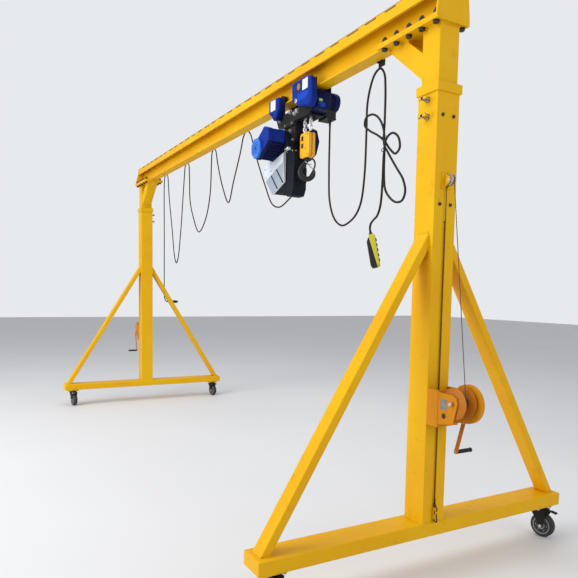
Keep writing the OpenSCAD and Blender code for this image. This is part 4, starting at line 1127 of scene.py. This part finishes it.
def hook_block():
    """Two cast halves with rounded corners, two windows a side with their rims, screws, and collars for the chain."""
    corners = ((0.045, 0.071, 0), (-0.045, 0.071, 90), (-0.045, -0.071, 180), (0.045, -0.071, 270))
    outline = [spot_on(BLOCK_X + x, BLOCK_Z + z, 0.024, math.radians(first + 15 * k))
               for x, z, first in corners for k in range(7)]
    prism(outline, -0.03, -0.001)
    prism(outline, 0.001, 0.03)
    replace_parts(on_trolley("block_shell", "orange", 0.0055, 4), "hook_block")
    prism([(BLOCK_X + 0.985 * (x - BLOCK_X), BLOCK_Z + 0.985 * (z - BLOCK_Z)) for x, z in outline], -0.002, 0.002)
    for z in (-0.002, 0.053):
        for low, high in ((-0.0304, -0.029), (0.029, 0.0304)):
            box((BLOCK_X - 0.046, low, BLOCK_Z + z - 0.018), (BLOCK_X - 0.014, high, BLOCK_Z + z + 0.018))
    for x in (BLOCK_X - 0.045, BLOCK_X + 0.045):
        turned((x, 0, BLOCK_Z + 0.09), (x, 0, BLOCK_Z + 0.1), [(0, 0.022), (0.4, 0.02), (1, 0.017)], 28)
    for x, z in ((0.021, -0.03), (0.048, 0.075), (0.048, -0.075), (-0.048, -0.075)):
        for s in BOTH:
            turned_y(BLOCK_X + x, BLOCK_Z + z, s * 0.029, s * 0.0307, [(0, 0.0058), (0.6, 0.0058), (1, 0.0045)], 18)
    on_trolley("block_dark", "black_plastic", 0.0006)
    for z in (BLOCK_Z - 0.002, BLOCK_Z + 0.053):
        for s in BOTH:
            for x1, x2, low, high in ((-0.0485, -0.0115, -0.0205, -0.0175), (-0.0485, -0.0115, 0.0175, 0.0205),
                                      (-0.0485, -0.046, -0.0205, 0.0205), (-0.014, -0.0115, -0.0205, 0.0205)):
                side_box(BLOCK_X + x1, BLOCK_X + x2, s * 0.029, s * 0.0312, z + low, z + high)
    on_trolley("window_rims", "orange", 0.0006)


def hook():
    """Forged hook: the swept bow with a finer outline, its swivel nut and a spring latch."""
    place = Matrix.Translation((BLOCK_X, 0, BLOCK_Z - 0.2)) @ Matrix.Rotation(math.radians(60), 4, "Z")
    points = [(0, 0, 0.125), (0, 0, 0.105), (0, 0, 0.092), (-0.0035, 0, 0.081), (-0.012, 0, 0.07), (-0.023, 0, 0.0585)]
    radii = [0.0135, 0.0135, 0.0145, 0.0155, 0.0165, 0.0168]
    for angle in range(125, 381, 6):
        x, z = spot_on(0, 0, 0.056, math.radians(angle))
        points.append((x, 0, z))
        thick = 0.0165 + 0.0045 * max(0.0, math.sin(math.radians(angle - 160)))
        radii.append(thick if angle < 330 else max(0.0065, thick - 0.00022 * (angle - 330)))
    swept(points, radii, 20)
    turned((0, 0, 0.0985), (0, 0, 0.106), [(0, 0.0205), (0.25, 0.0225), (0.75, 0.0225), (1, 0.0205)])
    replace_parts(piece("hook_forging", "hook_black", "hook_body", place=place), "hook")
    for s in BOTH:
        swept([(-0.013, s * 0.015, 0.073), (0.01, s * 0.0135, 0.056), (0.033, s * 0.0105, 0.033),
               (0.0475, s * 0.005, 0.0215)],
              0.003, 8)
    swept([(-0.013, -0.0165, 0.073), (-0.013, 0.0165, 0.073)], 0.004, 12)
    swept([(0.0475, -0.007, 0.0215), (0.0475, 0.007, 0.0215)], 0.0036, 10)
    box((0.002, -0.011, 0.056), (0.034, 0.011, 0.059))
    piece("hook_latch", "zinc", "hook_body", 0.0004, 1, place=place)


def point_camera():
    cos, sin = math.cos, math.sin
    forward = Vector((-cos(CAMERA_YAW) * cos(CAMERA_PITCH), sin(CAMERA_YAW) * cos(CAMERA_PITCH), sin(CAMERA_PITCH)))
    level = Vector((sin(CAMERA_YAW), cos(CAMERA_YAW), 0))
    above = level.cross(forward)
    right = level * cos(CAMERA_ROLL) + above * sin(CAMERA_ROLL)
    up = above * cos(CAMERA_ROLL) - level * sin(CAMERA_ROLL)
    data = bpy.data.cameras.new("camera")
    data.lens = CAMERA_LENS
    data.sensor_width = 36
    data.shift_x, data.shift_y = CAMERA_SHIFT
    data.clip_end = 200
    camera = bpy.data.objects.new("camera", data)
    camera.matrix_world = Matrix.Translation(CAMERA_PLACE) @ Matrix((right, up, -forward)).transposed().to_4x4()
    bpy.context.scene.collection.objects.link(camera)
    bpy.context.scene.camera = camera


def floor_and_light():
    bpy.ops.mesh.primitive_plane_add(size=60, location=(0, 0, 0))
    ground = bpy.context.object
    ground.name = "floor"
    material, tree, shader, coords = new_material("pale_floor")
    tint = ramp(tree, noise(tree, coords, 0.6, 4), 0.35, 0.7, 0.0, 0.4)
    tree.links.new(mix(tree, tint, FLOOR_PALE, tuple(0.93 * c for c in FLOOR_PALE)), shader.inputs["Base Color"])
    shader.inputs["Roughness"].default_value = 0.55
    ground.data.materials.append(material)
    world = bpy.data.worlds.new("world")
    world.use_nodes = True
    nodes, links = world.node_tree.nodes, world.node_tree.links
    sky = nodes["Background"]
    sky.inputs["Color"].default_value = (0.97, 0.98, 1.0, 1)
    sky.inputs["Strength"].default_value = 0.52
    backdrop = nodes.new("ShaderNodeBackground")
    backdrop.inputs["Color"].default_value = (0.8, 0.82, 0.84, 1)
    path = nodes.new("ShaderNodeLightPath")
    choose = nodes.new("ShaderNodeMixShader")
    links.new(path.outputs["Is Camera Ray"], choose.inputs["Fac"])
    links.new(sky.outputs["Background"], choose.inputs[1])
    links.new(backdrop.outputs["Background"], choose.inputs[2])
    links.new(choose.outputs["Shader"], nodes["World Output"].inputs["Surface"])
    bpy.context.scene.world = world
    for name, place, size, power in (("key", (1.5, -7.5, 7.5), 5.0, 390), ("low", (-1.0, -9.0, 3.0), 4.0, 330),
                                     ("fill", (8.5, 1.5, 4.0), 5.0, 115), ("over", (-1.0, 0.5, 8.0), 7.0, 170)):
        data = bpy.data.lights.new(name, "AREA")
        data.size = size
        data.energy = power
        lamp = bpy.data.objects.new(name, data)
        lamp.location = place
        lamp.rotation_euler = (Vector((0, 0, 1.4)) - Vector(place)).to_track_quat("-Z", "Y").to_euler()
        bpy.context.scene.collection.objects.link(lamp)


point_camera()
cords()
for side in SIDES:
    for end in ("front", "back"):
        castor(side, end)
for side in SIDES:
    leg(side)
for dress in (beam_pieces, trolley_covers, trolley_frame, travel_motor, hoist_motor, hoist_housing, load_chain,
              hook_block, hook, floor_and_light):
    dress()

bpy.context.scene.view_settings.view_transform = "Standard"
